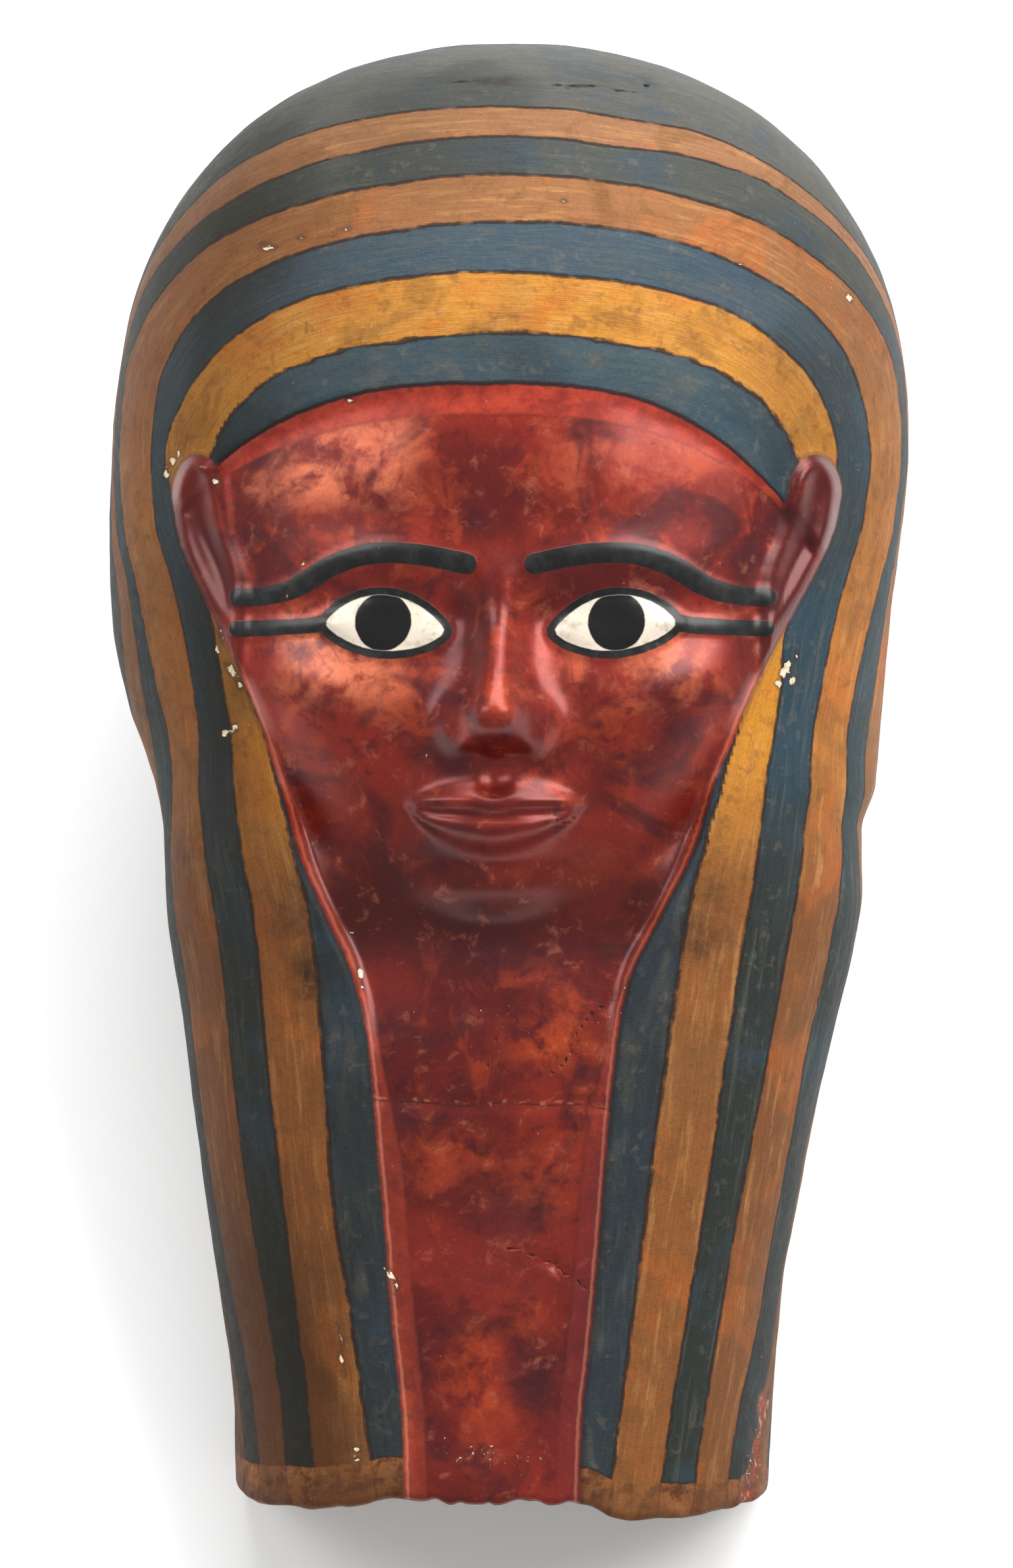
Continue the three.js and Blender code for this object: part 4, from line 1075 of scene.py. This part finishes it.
    # lacquered skin
    sd = h.add(A("skin"), h.mul(small_wobble, 0.6))
    on_skin = h.remap(sd, 0.35, -0.35)
    mottle, flecks = h.noise(62, 4, 0.6, 0.8), h.noise(150, 4, 0.65, 0.4)
    broad = h.noise(21, 3, 0.5, 0.6)
    skin = h.mix(h.remap(broad, 0.36, 0.62), rgb(96, 20, 17), rgb(142, 38, 24))
    skin = h.mix(h.mul(h.remap(mottle, 0.5, 0.68), 0.65), skin, rgb(170, 62, 32))
    # painted highlight: lighter, pinker patches on the cheeks and the forehead, strongest on the left as seen, standing
    # in for the lacquer's reflections
    side = h.add(h.math("ABSOLUTE", across), h.mul(h.sub(broad, 0.5), 46))
    painted_highlight = h.mul(h.remap(side, 76, 52), h.remap(side, 14, 34))
    painted_highlight = h.mul(painted_highlight, h.math("MAXIMUM", h.mul(h.remap(up, 232, 250), h.remap(up, 276, 262)), h.mul(h.mul(h.remap(up, 296, 306), h.remap(up, 336, 316)), h.remap(across, -10, 40, 1.0, 0.45))))
    painted_highlight = h.mul(h.mul(painted_highlight, h.remap(h.add(mottle, h.mul(h.sub(flecks, 0.5), 0.5)), 0.34, 0.62)), h.remap(across, -30, 50, 0.75, 0.40))
    skin = h.mix(painted_highlight, skin, rgb(224, 122, 84))
    skin = h.mix(h.mul(h.remap(h.noise(34, 3, 0.6, 1.0), 0.50, 0.66), 0.8), skin, rgb(72, 20, 26))
    # painted shade: the skin darker from below the cheeks down to the chin, and a little darker over the neck and bib
    skin = h.mix(h.mul(h.remap(h.add(up, h.mul(h.sub(broad, 0.5), 70)), 236, 168), h.remap(up, 158, 176, 0.15, 0.85)), skin, rgb(70, 16, 13))
    skin = h.mix(h.mul(A("orange"), h.remap(flecks, 0.35, 0.6, 0, 0.75)), skin, rgb(184, 70, 28))
    # dusky blotches, and a painted shadow under the chin
    skin = h.mix(h.mul(A("dusk_and_chin_shadow"), h.remap(mottle, 0.32, 0.62, 0.3, 0.9)), skin, rgb(62, 24, 34))
    skin = h.mix(h.mul(h.remap(flecks, 0.56, 0.74), 0.4), skin, rgb(188, 104, 76))
    skin = h.mix(h.mul(h.remap(flecks, 0.44, 0.3), 0.5), skin, rgb(70, 20, 22))
    skin = h.shade(skin, grain, 0.86, 1.14)
    # border band along the hairline, the jaw and the bib's sides
    broad_band = h.add(2.2, h.add(h.mul(h.remap(up, 298, 326), 5.6), h.mul(h.remap(up, 150, 100), 3.6)))
    inner_edge = h.add(sd, broad_band)
    band = h.mul(h.remap(inner_edge, -0.5, 0.5), h.remap(A("ear"), 0.5, 2.5))
    band_colour = h.mix(h.remap(flecks, 0.35, 0.65), rgb(140, 40, 30), rgb(176, 58, 36))
    band_colour = h.mix(h.mul(h.remap(up, 150, 90), h.remap(across, 0, 20)), band_colour, rgb(112, 34, 34))
    band_colour = h.mix(h.mul(h.remap(up, 150, 110), h.remap(across, 0, -20, 0, 0.6)), band_colour, rgb(116, 44, 22))
    band_colour = h.shade(band_colour, grain, 0.86, 1.12)
    skin = h.mix(h.mul(band, h.remap(up, 290, 325, 0.55, 0.9)), skin, band_colour)
    skin = h.mix(h.mul(h.mul(h.remap(h.math("ABSOLUTE", inner_edge), 0.8, 0.2), h.remap(flecks, 0.4, 0.55)), h.remap(A("ear"), 0.5, 2.5, 0, 0.32)), skin, rgb(70, 20, 18))
    # painted highlight: a thin light line just inside the skin's edge, below the ears, along the raised border
    skin = h.mix(h.mul(h.remap(h.math("ABSOLUTE", h.add(sd, 1.0)), 0.6, 0.1), h.mul(h.remap(up, 300, 280), 0.35)), skin, rgb(205, 130, 100))
    # painted shade in the ears' hollows
    skin = h.mix(h.mul(A("hollow"), 0.7), skin, rgb(66, 20, 24))
    skin = h.mix(h.mul(h.remap(A("ear"), 0.8, -1.5), h.remap(mottle, 0.3, 0.65, 0.75, 0.4)), skin, rgb(84, 20, 17))
    skin = h.mix(h.mul(h.remap(h.math("ABSOLUTE", h.add(A("ear"), 0.6)), 1.2, 0.3), 0.45), skin, rgb(70, 22, 22))
    crease = A("crease")
    skin = h.mix(h.mul(h.remap(h.math("ABSOLUTE", h.add(crease, h.mul(small_wobble, 0.7))), 0.5, 0.08), h.remap(flecks, 0.38, 0.56, 0.15, 0.75)), skin, rgb(48, 16, 14))
    skin = h.mix(h.mul(h.remap(h.math("ABSOLUTE", h.sub(crease, h.mul(h.sub(slow, 0.4), 5))), 0.9, 0.1), h.mul(h.remap(fine, 0.5, 0.62), 0.5)), skin, rgb(190, 116, 82))

    # painted eyes, brows and lines
    black = h.mix(h.remap(dust, 0.4, 0.7), rgb(17, 18, 19), rgb(36, 36, 36))
    e = h.add(A("eye"), h.mul(small_wobble, 0.35))
    b = h.add(A("brow"), h.mul(small_wobble, 0.4))
    i = h.add(A("iris"), h.mul(small_wobble, 0.4))
    lids = h.math("MAXIMUM", h.remap(e, 2.35, 1.95), h.remap(b, 0.25, -0.2))
    skin = h.mix(lids, skin, black)
    white = h.mix(h.remap(dust, 0.5, 0.75), rgb(226, 214, 196), rgb(186, 170, 148))
    in_eye = h.remap(e, 0.1, -0.35)
    skin = h.mix(in_eye, skin, white)
    skin = h.mix(h.mul(in_eye, h.remap(i, 0.25, -0.2)), skin, rgb(13, 12, 12))

    colour = h.mix(on_skin, wig, skin)
    # dark line between the wig and the skin
    colour = h.mix(h.mul(h.remap(h.math("ABSOLUTE", h.sub(sd, 0.5)), 0.9, 0.2), h.mul(h.remap(up, 240, 300, 0.35, 0.85), h.remap(A("ear"), 0.5, 2.5, 0.4, 1.0))), colour, rgb(44, 26, 24))

    # cracks, holes, raw edge, chips down to the white ground
    colour = h.mix(h.mul(h.remap(h.add(A("crack"), h.mul(h.sub(fine, 0.5), 0.9)), 0.55, 0.1), h.remap(h.noise(220, 2), 0.38, 0.5)), colour, rgb(30, 20, 18))
    raw = h.remap(h.add(A("raw"), small_wobble), 0.6, -0.6)
    raw_colour = h.mix(h.remap(flecks, 0.4, 0.6), rgb(128, 58, 36), rgb(86, 52, 38))
    raw_colour = h.mix(h.mul(h.remap(h.noise(330, 3, 0.6), 0.56, 0.66), 0.7), raw_colour, rgb(186, 150, 122))
    colour = h.mix(raw, colour, raw_colour)
    ground = h.mix(h.remap(grain, 0.35, 0.7), rgb(232, 220, 198), rgb(196, 174, 140))
    chipped = h.remap(h.add(h.add(A("chip"), 0.05), h.mul(h.sub(fine, 0.5), 2.2)), 0.1, -0.1)
    tiny = h.mul(h.sub(h.noise(640, 4, 0.7), h.sub(0.722, h.mul(A("gesso"), 0.132))), 40.0, clamp=True)
    tiny = h.mul(tiny, h.remap(A("eye"), 2.0, 5.0), clamp=True)
    colour = h.mix(h.mul(h.remap(h.add(A("chip"), h.mul(h.sub(fine, 0.5), 1.2)), 0.9, 0.2), 0.45), colour, rgb(60, 36, 26))
    white_ground = h.math("MAXIMUM", chipped, tiny)
    colour = h.mix(white_ground, colour, ground)
    # painted shade: the holes near black inside
    hole_shade = h.remap(A("hole"), 0.3, -0.3)
    colour = h.mix(hole_shade, colour, rgb(12, 8, 7))
    # paint wears off round the free edges
    worn = h.remap(h.add(A("rim"), h.mul(h.sub(flecks, 0.5), 1.2)), 0.55, 0.95)
    colour = h.mix(worn, colour, rgb(98, 66, 44))
    h.put(h.bsdf.inputs["Base Color"], colour)

    # gloss
    painted_black = h.mul(h.math("MAXIMUM", lids, in_eye), 1.0)
    lacquer = h.mul(on_skin, h.sub(1.0, h.math("MAXIMUM", h.math("MAXIMUM", white_ground, hole_shade), worn)))
    gloss = h.remap(mottle, 0.35, 0.7, 0.34, 0.48)
    gloss = h.add(gloss, h.mul(h.sub(flecks, 0.5), 0.30))
    matt = h.add(0.66, h.mul(h.sub(dust, 0.5), 0.4))
    rough = h.blend(lacquer, matt, gloss)
    rough = h.blend(h.mul(painted_black, lacquer), rough, 0.42)
    h.put(h.bsdf.inputs["Roughness"], h.math("MINIMUM", h.math("MAXIMUM", rough, 0.2), 0.95))
    metal = h.mul(lacquer, h.sub(1.0, h.math("MAXIMUM", painted_black, h.mul(band, 0.5))))
    h.put(h.bsdf.inputs["Metallic"], h.mul(metal, h.remap(mottle, 0.3, 0.7, 0.34, 0.58)))
    h.put(h.bsdf.inputs["Coat Weight"], h.blend(lacquer, 0.02, 0.62))
    h.bsdf.inputs["Coat Roughness"].default_value = 0.27
    h.bsdf.inputs["Specular IOR Level"].default_value = 0.14

    # fine relief
    brush = h.add(h.mul(thin, 0.6), h.mul(streak, 0.5))
    weave = h.mul(h.add(h.wave(520, "X", 1.5), h.wave(520, "Y", 1.5)), 0.10)
    body = h.add(h.add(h.mul(grain, 0.25), h.mul(dust, 0.7)), h.add(brush, weave))
    skin_body = h.add(h.mul(flecks, 0.55), h.add(h.mul(mottle, 0.6), h.mul(grain, 0.10)))
    height = h.blend(on_skin, body, h.mul(skin_body, 0.55))
    height = h.sub(height, h.mul(white_ground, 0.9))
    height = h.sub(height, h.mul(h.remap(A("crack"), 0.7, 0.1), 1.6))
    height = h.add(height, h.mul(h.mul(lids, on_skin), 0.5))
    h.put(h.bsdf.inputs["Normal"], h.bump(height, 0.00035, strength=0.9))
    return h.mat


def bare():
    """The inside and the broken edges: glued linen with a rough coat of plaster, darkened by resin."""
    h = Shader("linen_and_plaster")
    coat, stain, grain, clot = h.noise(30, 5, 0.62, 0.6), h.noise(12, 4, 0.6, 0.5), h.noise(700, 3, 0.7), h.noise(120, 4, 0.6)
    threads = h.math("MAXIMUM", h.wave(330, "X", 2.0), h.wave(330, "Y", 2.0))
    linen = h.mix(h.remap(threads, 0.45, 0.95), rgb(92, 68, 46), rgb(148, 118, 84))
    plaster = h.mix(h.remap(clot, 0.35, 0.7), rgb(196, 178, 148), rgb(158, 134, 104))
    on_plaster = h.remap(h.add(coat, h.mul(h.sub(clot, 0.5), 0.35)), 0.50, 0.56)
    colour = h.mix(on_plaster, linen, plaster)
    colour = h.mix(h.mul(h.remap(stain, 0.46, 0.64), 0.75), colour, rgb(58, 38, 26))
    edge = h.attr("rim")
    colour = h.mix(h.mul(edge, 0.6), colour, h.mix(h.remap(clot, 0.4, 0.6), rgb(120, 84, 54), rgb(70, 46, 32)))
    colour = h.shade(colour, grain, 0.82, 1.12)
    h.put(h.bsdf.inputs["Base Color"], colour)
    h.put(h.bsdf.inputs["Roughness"], h.remap(stain, 0.4, 0.65, 0.92, 0.7))
    height = h.add(h.mul(threads, 0.5), h.add(h.mul(on_plaster, 1.0), h.add(h.mul(clot, 0.8), h.mul(grain, 0.3))))
    h.put(h.bsdf.inputs["Normal"], h.bump(height, 0.0006, strength=0.9))
    return h.mat


mesh.materials.append(paint())
mesh.materials.append(bare())
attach(mask, "root")
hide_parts("mask_shell")

# ---------------------------------------------------------------- floor, light and camera
floor_mesh = bpy.data.meshes.new("floor")
floor_mesh.from_pydata([(-6, -6, -0.0002), (6, -6, -0.0002), (6, 6, -0.0002), (-6, 6, -0.0002)], [], [(0, 1, 2, 3)])
floor = bpy.data.objects.new("floor", floor_mesh)
bpy.context.scene.collection.objects.link(floor)
pale = Shader("pale_floor")
pale.bsdf.inputs["Base Color"].default_value = (0.94, 0.94, 0.94, 1)
pale.bsdf.inputs["Roughness"].default_value = 0.9
pale.bsdf.inputs["Specular IOR Level"].default_value = 0.1
pale.bsdf.inputs["Emission Color"].default_value = (1, 1, 1, 1)
pale.bsdf.inputs["Emission Strength"].default_value = 0.16
floor_mesh.materials.append(pale.mat)


def aim(obj, at, target, up=(0, 0, 1)):
    from mathutils import Matrix, Vector

    back = (Vector(at) - Vector(target)).normalized()
    right = Vector(up).cross(back).normalized()
    top = back.cross(right)
    m = Matrix((right, top, back)).transposed().to_4x4()
    m.translation = Vector(at)
    obj.matrix_world = m


def softbox(name, at, target, size, power, colour=(1, 1, 1)):
    data = bpy.data.lights.new(name, "AREA")
    data.shape, data.size, data.size_y = "RECTANGLE", size[0], size[1]
    data.energy, data.color = power, colour
    obj = bpy.data.objects.new(name, data)
    bpy.context.scene.collection.objects.link(obj)
    aim(obj, at, target)


softbox("head", (0.36, 1.66, 1.85), (0, 0.03, 0.08), (2.3, 1.7), 69)
softbox("right", (1.20, 0.30, 1.62), (0, 0.04, 0.12), (1.0, 1.3), 27, (1.0, 0.99, 0.97))
softbox("left", (-1.08, 0.18, 1.36), (0, 0.04, 0.14), (0.6, 1.15), 9)
world = bpy.data.worlds.new("studio")
world.use_nodes = True
world.node_tree.nodes["Background"].inputs["Color"].default_value = (1, 1, 1, 1)
world.node_tree.nodes["Background"].inputs["Strength"].default_value = 0.42
bpy.context.scene.world = world
bpy.context.scene.view_settings.view_transform = "Standard"

# the camera stands 1.5 m in front of the upright mask, square to it, 218 mm above the hem and 2 degrees to its side
TURN, EYE_LEVEL, FAR = math.radians(2.0), 217.8, 1500.0
ct, st = math.cos(TURN), math.sin(TURN)
stand = (lay([FAR * st, FAR * ct, EYE_LEVEL]) - CENTRE) / 1000
look = (lay([0, 0, EYE_LEVEL]) - CENTRE) / 1000
head_up = (lay([0, 0, 1]) - lay([0, 0, 0])) / 1.0
camera_data = bpy.data.cameras.new("camera")
camera_data.sensor_fit = "VERTICAL"
camera_data.sensor_height = 24.0
camera_data.lens = 24.0 * 7200 / 2384
camera_data.clip_start, camera_data.clip_end = 0.05, 50
camera = bpy.data.objects.new("camera", camera_data)
bpy.context.scene.collection.objects.link(camera)
aim(camera, tuple(stand), tuple(look), tuple(head_up))
bpy.context.scene.camera = camera
